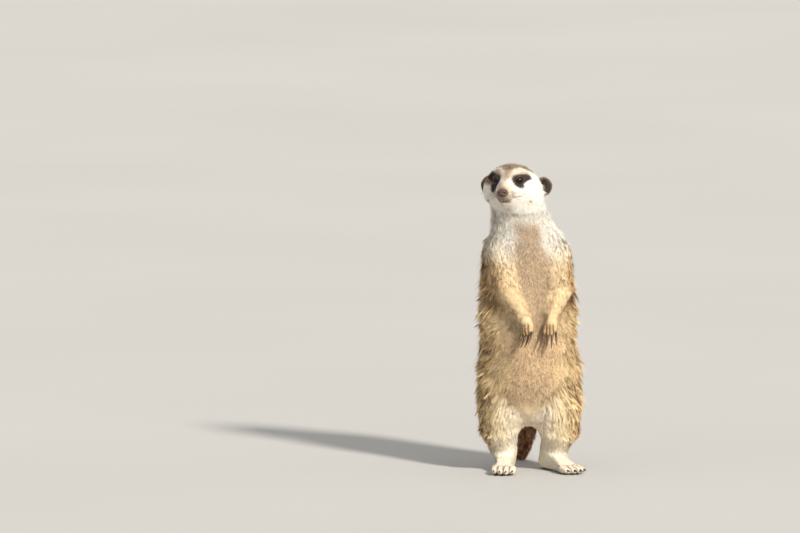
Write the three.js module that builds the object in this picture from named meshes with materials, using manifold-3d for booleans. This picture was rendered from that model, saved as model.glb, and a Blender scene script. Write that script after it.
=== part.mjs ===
// A life-size meerkat standing upright on its hind feet, with its arms hanging in front and
// its tail propped on the floor behind. Millimetres, +Z up. The animal faces -Y and its left
// is +X. Every outer surface is the outline of the coat's tips.
//
// The animal is modelled whole as smooth distance fields, which are turned into closed meshes
// and then parted into the named pieces by thin cuts.

import * as THREE from 'three';
import { mergeVertices } from 'three/addons/utils/BufferGeometryUtils.js';
import Module from 'manifold-3d';

const wasm = await Module();
wasm.setup();

// ---------------------------------------------------------------- driving dimensions

const PIECE_GAP = 0.3;                // thin cut between neighbouring pieces
const ROOM_GAP = 0.5;                 // the same round an arm
const TRUNK_TURN = 10;                // degrees, the chest is turned towards +X
const HEAD_TURN = -14;                // degrees, the face is turned towards -X
const EYE_POINT = [-19.4, -30, 285];  // midway between the two eyes
const EYE_SPACING = 22.8;
const EYE_DIAMETER = 9.6;
const MUZZLE_REACH = 29;              // from the eyes forward to the tip of the nose
const SKULL_REACH = 39;               // from the eyes back to the nape
const HEAD_WIDTH = 57;
const EAR_HEIGHT = 18.5;
const EAR_WIDTH = 15.6;
const EAR_RIM = 1.1;                  // thickness of the ear at its edge
const FRONT_CLAW_LENGTH = 17;
const HIND_CLAW_LENGTH = 8;
const TOES = 4;
const ARM_FILLET = 1.5;               // how far an arm's piece reaches into its fillet
const ARM_SHRINK = 2.8;               // how far inside the arms the trunk's own surface lies

// Cell sizes of the meshes, [width and depth, height], small where the form is small.
const CELL = {
  trunk: [14.2, 21.5],
  leg: [10.4, 13.5],
  foot: [5.3, 4.8],
  arm: [8.2, 11],
  armRegion: [9.5, 12],
  hand: [4.4, 4.4],
  head: [5.2, 5.15],
  nose: [2.4, 2.3],
};

const rad = THREE.MathUtils.degToRad;
const vec = (x, y, z) => new THREE.Vector3(x, y, z);
const UP = vec(0, 0, 1);
const SHORTEST_EDGE = 0.003;
const FAR = 800;                      // a block this long reaches past the whole animal

// ---------------------------------------------------------------- distance fields

// Smooth union of distances: k is the width of the fillet between the two shapes.
function join(a, b, k) {
  const h = Math.max(k - Math.abs(a - b), 0) / k;
  return Math.min(a, b) - (h * h * k) / 4;
}

const carve = (a, b, k) => -join(-a, b, k);

function joined(k, ...fields) {
  return (p) => fields.map((f) => f(p)).reduce((a, b) => join(a, b, k));
}

// A tapering limb with round ends, from a to b.
function bone(a, b, radiusA, radiusB) {
  const axis = b.clone().sub(a);
  const lengthSquared = axis.lengthSq();
  const offset = vec(0, 0, 0);
  return (p) => {
    offset.copy(p).sub(a);
    const t = THREE.MathUtils.clamp(offset.dot(axis) / lengthSquared, 0, 1);
    const radius = THREE.MathUtils.lerp(radiusA, radiusB, t);
    return offset.addScaledVector(axis, -t).length() - radius;
  };
}

// A limb through several joints, each { at, radius }.
function chain(joints, k) {
  const link = (end, i) => bone(joints[i].at, end.at, joints[i].radius, end.radius);
  return joined(k, ...joints.slice(1).map(link));
}

// An ellipsoid, turned by a quaternion.
function ball(centre, radii, turn = new THREE.Quaternion()) {
  const back = turn.clone().invert();
  const local = vec(0, 0, 0);
  const scaled = vec(0, 0, 0);
  return (p) => {
    local.copy(p).sub(centre).applyQuaternion(back);
    scaled.copy(local).divide(radii);
    const size = scaled.length();
    const slope = scaled.divide(radii).length();
    return slope < 1e-9 ? -Math.min(radii.x, radii.y, radii.z) : (size * (size - 1)) / slope;
  };
}

// A standing column whose elliptical sections change smoothly with height. Each station has
// its height z, centre (x, y), half width and half depth.
function column(stations, turn) {
  const part = (name) => stations.map((s) => s[name]);
  const heights = part('z');
  const tracks = ['x', 'y', 'wide', 'deep'].map((name) => smoothTrack(heights, part(name)));
  const [cos, sin] = [Math.cos(turn), Math.sin(turn)];
  const low = heights[0];
  const high = heights[heights.length - 1];
  return (p) => {
    const [x, y, wide, deep] = tracks.map((track) => track(p.z));
    const across = (p.x - x) * cos + (p.y - y) * sin;
    const along = (p.y - y) * cos - (p.x - x) * sin;
    const size = Math.hypot(across / wide, along / deep);
    const side = (size - 1) * Math.min(wide, deep);
    return Math.max(side, low - p.z, p.z - high);
  };
}

// A smooth curve through values given at rising places.
function smoothTrack(places, values) {
  const last = places.length - 1;
  const slope = (i) => {
    const [a, b] = [Math.max(i - 1, 0), Math.min(i + 1, last)];
    return (values[b] - values[a]) / (places[b] - places[a]);
  };
  return (place) => {
    const at = THREE.MathUtils.clamp(place, places[0], places[last]);
    const i = Math.min(places.findLastIndex((start) => start <= at), last - 1);
    const step = places[i + 1] - places[i];
    const t = (at - places[i]) / step;
    const [a, b] = [values[i], values[i + 1]];
    const [ma, mb] = [slope(i) * step, slope(i + 1) * step];
    return (2 * t ** 3 - 3 * t ** 2 + 1) * a + (t ** 3 - 2 * t ** 2 + t) * ma
      + (3 * t ** 2 - 2 * t ** 3) * b + (t ** 3 - t ** 2) * mb;
  };
}

// ---------------------------------------------------------------- from fields to solids

function toManifold(geometry) {
  const bare = geometry.clone();
  bare.deleteAttribute('normal');
  bare.deleteAttribute('uv');
  const merged = mergeVertices(bare, 1e-4);
  return new wasm.Manifold(new wasm.Mesh({
    numProp: 3,
    vertProperties: new Float32Array(merged.attributes.position.array),
    triVerts: new Uint32Array(merged.index.array),
  }));
}

// The solid as a geometry, with each edge under SHORTEST_EDGE drawn together to one point.
function toGeometry(solid) {
  const { vertProperties, triVerts } = solid.getMesh();
  const position = new THREE.BufferAttribute(vertProperties, 3);
  const corner = (n) => vec(0, 0, 0).fromBufferAttribute(position, n);
  const standIn = [...Array(position.count).keys()];
  const resolve = (n) => (standIn[n] === n ? n : resolve(standIn[n]));
  const triangles = [];
  for (let n = 0; n < triVerts.length; n += 3) triangles.push([...triVerts.slice(n, n + 3)]);
  for (const [a, b, c] of triangles) {
    for (const [from, to] of [[a, b], [b, c], [c, a]]) {
      if (corner(from).distanceTo(corner(to)) < SHORTEST_EDGE) standIn[resolve(from)] = resolve(to);
    }
  }
  const kept = triangles.map((corners) => corners.map(resolve))
    .filter(([a, b, c]) => a !== b && b !== c && c !== a);
  const geometry = new THREE.BufferGeometry();
  geometry.setAttribute('position', position);
  geometry.setIndex(kept.flat());
  return geometry;
}

function gradient(field, p) {
  const e = 0.05;
  const probe = (dx, dy, dz) => field(vec(p.x + dx, p.y + dy, p.z + dz));
  return vec(probe(e, 0, 0) - probe(-e, 0, 0), probe(0, e, 0) - probe(0, -e, 0),
    probe(0, 0, e) - probe(0, 0, -e)).divideScalar(2 * e);
}

// The closed surface where the field is zero, inside the box low..high, as a net with one
// vertex in each cell that the surface crosses.
function netOf(field, low, high, [cell, tall]) {
  const size = vec(cell, cell, tall);
  const count = ['x', 'y', 'z'].map((axis) => Math.ceil((high[axis] - low[axis]) / size[axis]) + 1);
  const strides = [1, count[0], count[0] * count[1]];
  const total = strides[2] * count[2];
  const place = (index) => [index % count[0], Math.floor(index / strides[1]) % count[1],
    Math.floor(index / strides[2])];
  const point = (ijk) => vec(...ijk).multiply(size).add(low);
  const onEdge = (ijk) => ijk.some((n, axis) => n === 0 || n === count[axis] - 1);

  const values = new Float64Array(total);
  for (let index = 0; index < total; index += 1) {
    const ijk = place(index);
    const value = field(point(ijk));
    values[index] = onEdge(ijk) ? Math.max(value, cell / 2) : value;
  }

  const corners = [...Array(8).keys()];
  const cornerStep = corners.map((c) => (c & 1) + ((c >> 1) & 1) * strides[1] + (c >> 2) * strides[2]);
  const vertexOf = new Map();
  const positions = [];

  function settle(p, centre) {
    for (let pass = 0; pass < 3; pass += 1) {
      const slope = gradient(field, p);
      p.addScaledVector(slope, -field(p) / Math.max(slope.lengthSq(), 0.2));
    }
    return p.sub(centre).clampLength(0, cell * 0.85).add(centre);
  }

  for (let index = 0; index < total - strides[2] - strides[1] - 1; index += 1) {
    const ijk = place(index);
    if (ijk.some((n, axis) => n >= count[axis] - 1)) continue;
    const inside = corners.map((c) => values[index + cornerStep[c]] < 0);
    if (inside.every((v) => v) || !inside.some((v) => v)) continue;
    const sum = vec(0, 0, 0);
    let crossings = 0;
    for (const c of corners) {
      for (const bit of [1, 2, 4]) {
        const d = c | bit;
        if (d === c || inside[c] === inside[d]) continue;
        const [a, b] = [values[index + cornerStep[c]], values[index + cornerStep[d]]];
        const corner = (n) => point([ijk[0] + (n & 1), ijk[1] + ((n >> 1) & 1), ijk[2] + (n >> 2)]);
        sum.add(corner(c).lerp(corner(d), a / (a - b)));
        crossings += 1;
      }
    }
    const centre = point(ijk).addScaledVector(size, 0.5);
    const vertex = settle(sum.divideScalar(crossings), centre);
    vertexOf.set(index, positions.length / 3);
    positions.push(vertex.x, vertex.y, vertex.z);
  }

  const triangles = [];
  const at = (n) => vec(positions[3 * n], positions[3 * n + 1], positions[3 * n + 2]);
  for (let index = 0; index < total; index += 1) {
    const ijk = place(index);
    for (let axis = 0; axis < 3; axis += 1) {
      if (ijk[axis] >= count[axis] - 1) continue;
      const [a, b] = [values[index] < 0, values[index + strides[axis]] < 0];
      if (a === b) continue;
      const [u, v] = [strides[(axis + 1) % 3], strides[(axis + 2) % 3]];
      const ring = [index - u - v, index - v, index, index - u].map((n) => vertexOf.get(n));
      const [q0, q1, q2, q3] = a ? ring : ring.reverse();
      const short = at(q0).distanceTo(at(q2)) < at(q1).distanceTo(at(q3));
      triangles.push(...(short ? [q0, q1, q2, q0, q2, q3] : [q0, q1, q3, q1, q2, q3]));
    }
  }

  return { positions, triangles };
}

const netSolid = ({ positions, triangles }) => new wasm.Manifold(new wasm.Mesh({
  numProp: 3,
  vertProperties: new Float32Array(positions),
  triVerts: new Uint32Array(triangles),
}));

const solidOf = (field, low, high, cells) => netSolid(netOf(field, low, high, cells));

// The same net with every vertex moved outwards.
function swollen({ positions, triangles }, field, by) {
  const moved = [];
  for (let n = 0; n < positions.length; n += 3) {
    const place = vec(...positions.slice(n, n + 3));
    moved.push(...place.addScaledVector(gradient(field, place).normalize(), by).toArray());
  }
  return { positions: moved, triangles };
}

// Everything on the side of a plane that its normal points to, starting `offset` beyond it.
function beyond({ at, normal }, offset) {
  const box = new THREE.BoxGeometry(FAR, FAR, FAR);
  box.translate(0, 0, FAR / 2 + offset);
  box.applyQuaternion(new THREE.Quaternion().setFromUnitVectors(UP, normal.clone().normalize()));
  box.translate(at.x, at.y, at.z);
  return toManifold(box);
}

const flipped = ({ at, normal }) => ({ at, normal: normal.clone().negate() });
const keep = (solid, plane) => solid.intersect(beyond(plane, PIECE_GAP / 2));

// Parts a solid at a plane: the piece beyond it and the piece before it.
const part = (solid, plane) => [keep(solid, plane), keep(solid, flipped(plane))];

const grown = (field, by) => (p) => field(p) - by;
const FLOOR = { at: vec(0, 0, 0), normal: UP };
const aboveFloor = (solid) => solid.intersect(beyond(FLOOR, 0));

// ---------------------------------------------------------------- placing

// The head's own frame: millimetres from the point between the eyes, its front is -Y.
const headTurn = new THREE.Quaternion().setFromAxisAngle(UP, rad(HEAD_TURN));
const eyePoint = vec(...EYE_POINT);
const onHead = (x, y, z) => vec(x, y, z).applyQuaternion(headTurn).add(eyePoint);
const headBall = (x, y, z, ...radii) => ball(onHead(x, y, z), vec(...radii), headTurn);
const SIDES = [-1, 1];

// ---------------------------------------------------------------- trunk and neck

const TRUNK_STATIONS = [
  { z: 47, x: 1.5, y: 9, wide: 37, deep: 28 },
  { z: 56, x: 1.5, y: 9, wide: 42.5, deep: 33.5 },
  { z: 76, x: 1, y: 8, wide: 48, deep: 41.5 },
  { z: 100, x: 1, y: 4.5, wide: 48.5, deep: 43.5 },
  { z: 127, x: 0, y: 1.5, wide: 49, deep: 43 },
  { z: 154, x: -0.4, y: 2, wide: 49.5, deep: 40.5 },
  { z: 178, x: -0.6, y: 3, wide: 47.5, deep: 37 },
  { z: 199, x: -1.4, y: 3, wide: 47, deep: 34.5 },
  { z: 215, x: -2, y: 2, wide: 43.5, deep: 32 },
  { z: 229, x: -2, y: -0.5, wide: 36.5, deep: 28.5 },
  { z: 240, x: -2.8, y: -3.5, wide: 33.4, deep: 26 },
  { z: 252, x: -7.1, y: -6.5, wide: 27.6, deep: 23.5 },
  { z: 278, x: -13, y: -9, wide: 21, deep: 20 },
];

const trunkField = column(TRUNK_STATIONS, rad(TRUNK_TURN));

// ---------------------------------------------------------------- head

function headField() {
  const half = HEAD_WIDTH / 2;
  const snout = 6.5 - MUZZLE_REACH;
  const cranium = headBall(0, SKULL_REACH - 22, -5.5, half - 1.5, 22, 21);
  const forehead = headBall(0, 5.5, -0.5, 13.5, 12.5, 13.8);
  const nape = headBall(0, SKULL_REACH - 17.5, -15, 22, 17.5, 17);
  const cheeks = SIDES.map((side) => headBall(side * 15, 15.5, -13.5, 14.5, 15, 14));
  const brows = SIDES.map((side) => {
    const [inner, outer] = [onHead(side * 6.5, -3.2, 5.6), onHead(side * 14.5, 4, 5.2)];
    return bone(inner, outer, 4.2, 5.4);
  });
  const bridge = bone(onHead(0, 0, -2.5), onHead(0, snout + 2, -7.4), 10, 4.8);
  const lips = bone(onHead(0, 1, -9.5), onHead(0, snout + 0.5, -11.2), 12.5, 6.3);
  const pads = SIDES.map((side) => headBall(side * 4.4, snout + 4, -13.6, 5, 7.5, 5.4));
  const jaw = bone(onHead(0, 8, -17.5), onHead(0, snout + 7, -20.8), 9.8, 5);
  const skull = joined(7, cranium, forehead, nape, ...cheeks);
  const muzzle = joined(3, joined(3, bridge, lips, jaw), ...pads);
  const solid = joined(6, skull, muzzle, joined(3, ...brows));
  const sockets = SIDES.map((side) => headBall(side * 15.5, -5.6, -0.2, 5.4, 5.2, 4.2));
  return (p) => sockets.reduce((d, socket) => carve(d, socket(p), 3), solid(p));
}

const faceField = headField();

// The eyes look outwards and forwards, and a cap of each ball shows in its socket.
function eyeCentre(side) {
  return onHead(side * (EYE_SPACING / 2 - 1.2), -1.2, -0.2);
}

function eyeBall(side, by = 0) {
  const eye = new THREE.SphereGeometry(EYE_DIAMETER / 2 + by, 11, 6);
  eye.rotateX(rad(90));
  const centre = eyeCentre(side);
  eye.translate(centre.x, centre.y, centre.z);
  return toManifold(eye);
}

// The bare nose pad, broad above and notched below.
const noseField = (() => {
  const tip = -MUZZLE_REACH;
  const pad = headBall(0, tip + 3.2, -9.8, 4.6, 3.4, 3.3);
  const wings = SIDES.map((side) => headBall(side * 2.9, tip + 3.9, -10.6, 2.3, 2.7, 2.3));
  return joined(1.6, pad, ...wings);
})();

// A small rounded ear set low on the side of the head: a bowl that opens forwards and outwards,
// deepest by its front edge, with its back rim rolled forward.
function earSolid(side, by = 0) {
  const facing = vec(side * 0.78, -0.6, 0.16).normalize();
  const outwards = vec(side * 0.61, 0.79, 0).normalize();
  const above = facing.clone().cross(outwards).multiplyScalar(side).normalize();
  const centre = vec(side * 28.6, 29, -8);
  const reach = vec(EAR_WIDTH / 2 + by, EAR_HEIGHT / 2 + by, 0);
  const sides = 12;
  const front = [0, 0.45, 0.8, 1];
  const back = [1, 0.6, 0];

  const positions = [];
  const index = [];
  const place = (share, angle, behind) => {
    const [a, b] = [Math.cos(angle) * share, Math.sin(angle) * share];
    const depth = (behind ? 3.2 : 1.9) * (1 - share ** 3);
    const bowl = behind ? -depth - EAR_RIM - by : by - depth;
    const rolled = 1.8 * Math.max(a, 0) ** 2 - 1.2 * b * b;
    const narrow = 1 - 0.16 * Math.max(-b, 0);
    return onHead(...centre.clone().addScaledVector(outwards, a * reach.x * narrow)
      .addScaledVector(above, b * reach.y).addScaledVector(facing, bowl + rolled).toArray());
  };
  const rings = [...front.map((share) => [share, false]), ...back.map((share) => [share, true])];
  rings.forEach(([share, behind]) => {
    const count = share === 0 ? 1 : sides;
    for (let s = 0; s < count; s += 1) {
      positions.push(...place(share, (s / sides) * 2 * Math.PI, behind).toArray());
    }
  });
  const start = (ring) => (ring === 0 ? 0 : 1 + (ring - 1) * sides);
  for (let s = 0; s < sides; s += 1) {
    const next = (s + 1) % sides;
    index.push(0, 1 + s, 1 + next);
    for (let ring = 1; ring < rings.length - 2; ring += 1) {
      const [a, b] = [start(ring), start(ring + 1)];
      index.push(a + s, b + s, b + next, a + s, b + next, a + next);
    }
    const last = start(rings.length - 2);
    index.push(last + s, start(rings.length - 1), last + next);
  }
  if (side < 0) index.reverse();
  const geometry = new THREE.BufferGeometry();
  geometry.setAttribute('position', new THREE.BufferAttribute(new Float32Array(positions), 3));
  geometry.setIndex(index);
  return toManifold(geometry);
}

// ---------------------------------------------------------------- arms and hands

const ARMS = {
  right: {
    shoulder: vec(-27, -12, 218), elbow: vec(-23.5, -30.5, 182.5), wrist: vec(-3.4, -45.5, 152.5),
    knuckles: vec(-1, -48.5, 144.5), fingertips: vec(-2, -51.5, 138),
    spread: vec(0.72, -0.6, 0.2), palm: vec(-0.7, 0.7, 0.1), curl: 52,
  },
  left: {
    shoulder: vec(26.5, -5, 214), elbow: vec(33.5, -20, 182), wrist: vec(23, -37.5, 155),
    knuckles: vec(21, -42.5, 145), fingertips: vec(20.5, -46, 137.5),
    spread: vec(0.95, -0.25, 0.1), palm: vec(-0.1, 0.9, 0), curl: 30,
  },
};

function armField(arm) {
  return chain([
    { at: arm.shoulder, radius: 15 },
    { at: arm.elbow, radius: 12 },
    { at: arm.wrist, radius: 6.6 },
    { at: arm.knuckles, radius: 5.8 },
  ], 2);
}

// Four fingers side by side, each bent down at the knuckles.
function fingers(arm) {
  const across = arm.spread.clone().normalize();
  return [...Array(TOES).keys()].map((n) => {
    const place = n - (TOES - 1) / 2;
    const root = arm.knuckles.clone().addScaledVector(across, place * 3.3);
    const shortening = place * place * 0.8;
    const tip = arm.fingertips.clone().addScaledVector(across, place * 3.9).add(vec(0, 0, shortening));
    return { root, tip, radius: 2.5 };
  });
}

function handField(arm) {
  const bones = fingers(arm).map(({ root, tip, radius }) => bone(root, tip, radius + 0.6, radius));
  return joined(4, armField(arm), ...bones);
}

// ---------------------------------------------------------------- legs and feet

const LEGS = {
  right: {
    side: -1, calfRadius: 20,
    hip: vec(-18, 7, 88), knee: vec(-27.5, -8, 55), calf: vec(-27.1, -2, 40), ankle: vec(-22.5, 7, 18.5),
    heel: vec(-19.5, 14, 7.6), ball: vec(-23.5, -27, 6.4), toes: vec(-24.5, -41, 4),
  },
  left: {
    side: 1, calfRadius: 21.4,
    hip: vec(22, 7, 88), knee: vec(31, -7, 54), calf: vec(30.1, 0, 39), ankle: vec(24.3, 8, 18.5),
    heel: vec(18, 13.5, 7.6), ball: vec(39, -20.5, 6.4), toes: vec(46, -33, 4),
  },
};

const thighField = (leg) => joined(10,
  bone(leg.hip, leg.knee, 29, 21),
  ball(leg.hip.clone().lerp(leg.knee, 0.85).add(vec(0, 8, 0)), vec(20.5, 25, 26)));

const shankField = (leg) => bone(leg.calf, leg.ankle, leg.calfRadius, 12.5);

function toeList(leg) {
  const along = leg.toes.clone().sub(leg.ball).setZ(0).normalize();
  const across = vec(-along.y, along.x, 0);
  return [...Array(TOES).keys()].map((n) => {
    const place = n - (TOES - 1) / 2;
    const root = leg.ball.clone().addScaledVector(across, place * 5).setZ(4.4);
    const tip = leg.toes.clone().addScaledVector(across, place * 6);
    tip.addScaledVector(along, -place * place * 1.6);
    return { root, tip, along, radius: 3.7 };
  });
}

function footField(leg) {
  const sole = chain([
    { at: leg.ankle, radius: 10.2 },
    { at: leg.heel, radius: 7.9 },
  ], 4);
  const instep = chain([
    { at: leg.ankle.clone().lerp(leg.ball, 0.18).setZ(14), radius: 9.4 },
    { at: leg.ball, radius: 7.4 },
  ], 4);
  const along = leg.toes.clone().sub(leg.ball).setZ(0).normalize();
  const turn = new THREE.Quaternion().setFromUnitVectors(vec(0, -1, 0), along);
  const pad = ball(leg.ball.clone().setZ(4.6), vec(11.2, 12, 5.6), turn);
  const underside = bone(leg.heel.clone().setZ(6), leg.ball.clone().setZ(5), 6.8, 6.6);
  const toes = toeList(leg).map(({ root, tip, radius }) => bone(root, tip, radius + 0.5, radius));
  return joined(5, sole, instep, underside, joined(2.2, pad, ...toes));
}

// ---------------------------------------------------------------- tail

// The tail drops from the rump to the floor and lies along it, bending to the right.
const TAIL_ROUTE = [
  vec(2.5, 36, 68), vec(2, 48, 49), vec(0, 61, 27.5), vec(-3.5, 76, 10.5),
  vec(-7.5, 99, 6.6), vec(-13.5, 132, 5.4), vec(-21, 163, 4.2), vec(-28, 184, 2.9),
];
const TAIL_RADII = [15.5, 12.2, 9.8, 8.4, 7.6, 6.6, 5.4, 4];
const TAIL_RINGS = 18;
const TAIL_SIDES = 12;

const tailCurve = new THREE.CatmullRomCurve3(TAIL_ROUTE, false, 'centripetal');
const tailRadius = smoothTrack([...TAIL_RADII.keys()], TAIL_RADII);

// The tail is a turned profile with round ends, bent along its route.
function tailSolid(by = 0) {
  const length = tailCurve.getLength();
  const radiusAt = (share) => tailRadius(tailCurve.getUtoTmapping(share) * (TAIL_RADII.length - 1)) + by;
  const capAt = (share, sense, angle) => new THREE.Vector2(
    radiusAt(share) * Math.sin(angle), length * share + sense * radiusAt(share) * Math.cos(angle));
  const steps = [...Array(TAIL_RINGS - 1).keys()].map((n) => (n + 1) / TAIL_RINGS);
  const angles = [0, 35, 65, 90].map(rad);
  const profile = new THREE.LatheGeometry([
    ...angles.map((angle) => capAt(0, -1, angle)),
    ...steps.map((share) => new THREE.Vector2(radiusAt(share), length * share)),
    ...angles.toReversed().map((angle) => capAt(1, 1, angle)),
  ], TAIL_SIDES);
  const places = profile.attributes.position;
  for (let n = 0; n < places.count; n += 1) {
    const share = THREE.MathUtils.clamp(places.getY(n) / length, 0, 1);
    const forward = tailCurve.getTangentAt(share);
    const side = UP.clone().cross(forward).normalize();
    const other = side.clone().cross(forward);
    const place = tailCurve.getPointAt(share).addScaledVector(forward, places.getY(n) - length * share)
      .addScaledVector(side, places.getX(n)).addScaledVector(other, places.getZ(n));
    places.setXYZ(n, place.x, place.y, place.z);
  }
  return toManifold(profile);
}

// A plane square to the tail, part of the way along its route.
const tailCut = (t) => ({ at: tailCurve.getPoint(t), normal: tailCurve.getTangent(t) });

// ---------------------------------------------------------------- claws

// A claw is a tapering horn bent along an arc, with its root inside the toe.
function clawSolid({ root, heading, length, radius, bend, towards }, by = 0) {
  const sides = 5;
  const rings = 3;
  const side = heading.clone().cross(towards).normalize();
  const spine = [];
  const place = root.clone();
  for (let n = 0; n <= rings; n += 1) {
    const aim = heading.clone().applyAxisAngle(side, rad(bend) * (n / rings));
    spine.push({ at: place.clone(), aim });
    place.addScaledVector(aim, length / rings);
  }
  const positions = [];
  const index = [];
  spine.slice(0, rings).forEach(({ at, aim }, n) => {
    const thick = (radius + by) * (1 - 0.78 * (n / rings) ** 1.4);
    const other = side.clone().cross(aim).normalize();
    for (let s = 0; s < sides; s += 1) {
      const angle = (s / sides) * 2 * Math.PI;
      positions.push(...at.clone().addScaledVector(side, Math.cos(angle) * thick * 0.8)
        .addScaledVector(other, Math.sin(angle) * thick).toArray());
    }
  });
  const start = positions.length / 3;
  positions.push(...spine[0].at.clone().addScaledVector(heading, -by).toArray());
  positions.push(...spine[rings].at.clone().addScaledVector(spine[rings].aim, by).toArray());
  for (let s = 0; s < sides; s += 1) {
    const next = (s + 1) % sides;
    for (let n = 0; n < rings - 1; n += 1) {
      const [a, b] = [n * sides + s, n * sides + next];
      index.push(a, a + sides, b, b, a + sides, b + sides);
    }
    index.push(start, s, next);
    index.push(start + 1, (rings - 1) * sides + next, (rings - 1) * sides + s);
  }
  const geometry = new THREE.BufferGeometry();
  geometry.setAttribute('position', new THREE.BufferAttribute(new Float32Array(positions), 3));
  geometry.setIndex(index);
  return toManifold(geometry);
}

function frontClaws(arm) {
  return fingers(arm).map(({ root, tip }) => {
    const heading = tip.clone().sub(root).normalize();
    const shape = { length: FRONT_CLAW_LENGTH, radius: 1.75, bend: arm.curl };
    return { root: tip, heading, towards: arm.palm, ...shape };
  });
}

function hindClaws(leg) {
  return toeList(leg).map(({ tip, along, radius }) => ({
    root: tip.clone().addScaledVector(along, radius * 0.35).setZ(4.2),
    heading: along.clone().add(vec(0, 0, 0.12)).normalize(),
    length: HIND_CLAW_LENGTH, radius: 1.55, bend: 38, towards: vec(0, 0, -1),
  }));
}

// ---------------------------------------------------------------- the cuts between pieces

const CUT = {
  neckTop: { at: vec(-14, -8, 262), normal: vec(0.02, -0.36, 0.93) },
  neckBase: { at: vec(-4, 0, 233), normal: vec(-0.1, -0.18, 0.98) },
  tailBend: 0.46,
  tailTip: 0.78,
};

const hipCut = (leg) => ({ at: vec(leg.side * 15, 0, 70), normal: vec(leg.side * 0.76, 0, -0.65) });

// A plane square to the limb from a to b, at the given part of its length.
const across = (a, b, share) => ({ at: a.clone().lerp(b, share), normal: b.clone().sub(a).normalize() });

// ---------------------------------------------------------------- making the solids

const pieces = new Map();
const around = (centre, x, y, z) => [centre.clone().sub(vec(x, y, z)), centre.clone().add(vec(x, y, z))];

// The tail's own pieces. Returns the room that its root takes out of the rump.
function makeTail() {
  const [lying, base] = part(aboveFloor(tailSolid()), tailCut(CUT.tailBend));
  const [tip, middle] = part(lying, tailCut(CUT.tailTip));
  pieces.set('tail_base', base);
  pieces.set('tail_middle', middle);
  pieces.set('tail_tip', tip);
  return tailSolid(PIECE_GAP);
}

// An arm's solid is the part of the body's outline that lies close round its bones. Returns
// the room that it takes out of the trunk.
function makeArm(name, arm, outline) {
  const box = [vec(-62, -85, 105), vec(64, 35, 250)];
  const reach = grown(handField(arm), ARM_FILLET);
  const net = netOf(reach, ...box, CELL.armRegion);
  const limb = solidOf(outline, ...box, CELL.arm).intersect(netSolid(net));
  const [lower, upper] = part(limb, elbowCut(arm));
  const [, forearm] = part(lower, wristCut(arm));
  const handNet = netOf(handField(arm), ...around(arm.knuckles, 30, 24, 26), CELL.hand);
  const hand = keep(netSolid(handNet), wristCut(arm));
  const claws = frontClaws(arm);
  const bareHand = claws.reduce((solid, claw) => solid.subtract(clawSolid(claw, PIECE_GAP)), hand);
  pieces.set(`upper_arm_${name}`, upper);
  pieces.set(`forearm_${name}`, forearm);
  pieces.set(`hand_${name}`, bareHand);
  claws.forEach((claw, n) => pieces.set(`front_claw_${name}_${n + 1}`, clawSolid(claw)));
  return netSolid(swollen(net, reach, ROOM_GAP)).add(netSolid(swollen(handNet, handField(arm), ROOM_GAP)));
}

function elbowCut(arm) {
  const down = arm.elbow.clone().sub(arm.shoulder).normalize();
  const on = arm.wrist.clone().sub(arm.elbow).normalize();
  return { at: arm.elbow, normal: down.add(on).normalize() };
}

const wristCut = (arm) => across(arm.elbow, arm.wrist, 0.93);

// A leg's own pieces. Returns the body without that leg.
function makeLeg(name, leg, body) {
  const side = { at: vec(0, 0, 0), normal: vec(leg.side, 0, 0) };
  const lowest = vec(-70, -70, -14);
  const highest = vec(90, 90, 120);
  const own = keep(solidOf(legsAndTrunk, lowest, highest, CELL.leg), side);
  const upper = keep(own, hipCut(leg));
  const knee = across(leg.knee, leg.ankle, 0.3);
  const ankle = across(leg.knee, leg.ankle, 0.88);
  const [below, thigh] = part(upper, knee);
  const [, shank] = part(below, ankle);
  const footAndShank = joined(6, footField(leg), shankField(leg));
  const sole = aboveFloor(solidOf(footAndShank, ...around(leg.ball, 50, 62, 24), CELL.foot));
  const foot = keep(keep(sole, ankle), side);
  const claws = hindClaws(leg);
  const bareFoot = claws.reduce((solid, claw) => solid.subtract(clawSolid(claw, PIECE_GAP)), foot);
  pieces.set(`thigh_${name}`, thigh);
  pieces.set(`shank_${name}`, shank);
  pieces.set(`foot_${name}`, bareFoot);
  claws.forEach((claw, n) => pieces.set(`hind_claw_${name}_${n + 1}`, aboveFloor(clawSolid(claw))));
  return keep(body, flipped(hipCut(leg)));
}

const legsAndTrunk = joined(12, trunkField,
  ...Object.values(LEGS).map((leg) => joined(10, thighField(leg), shankField(leg))));

function makeHead(headAndNeck) {
  const [low, high] = around(onHead(0, 6, -12), 46, 50, 36);
  const head = keep(solidOf(headAndNeck, low, high, CELL.head), CUT.neckTop);
  const noseBox = around(onHead(0, 4 - MUZZLE_REACH, -10), 10, 10, 9);
  const cutters = [solidOf(grown(noseField, PIECE_GAP), ...noseBox, CELL.nose)];
  pieces.set('nose', solidOf(noseField, ...noseBox, CELL.nose));
  for (const [name, side] of [['left', 1], ['right', -1]]) {
    pieces.set(`ear_${name}`, earSolid(side));
    pieces.set(`eye_${name}`, eyeBall(side));
    cutters.push(earSolid(side, PIECE_GAP * 1.5));
    cutters.push(eyeBall(side, PIECE_GAP));
  }
  pieces.set('head', cutters.reduce((solid, cutter) => solid.subtract(cutter), head));
}

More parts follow.
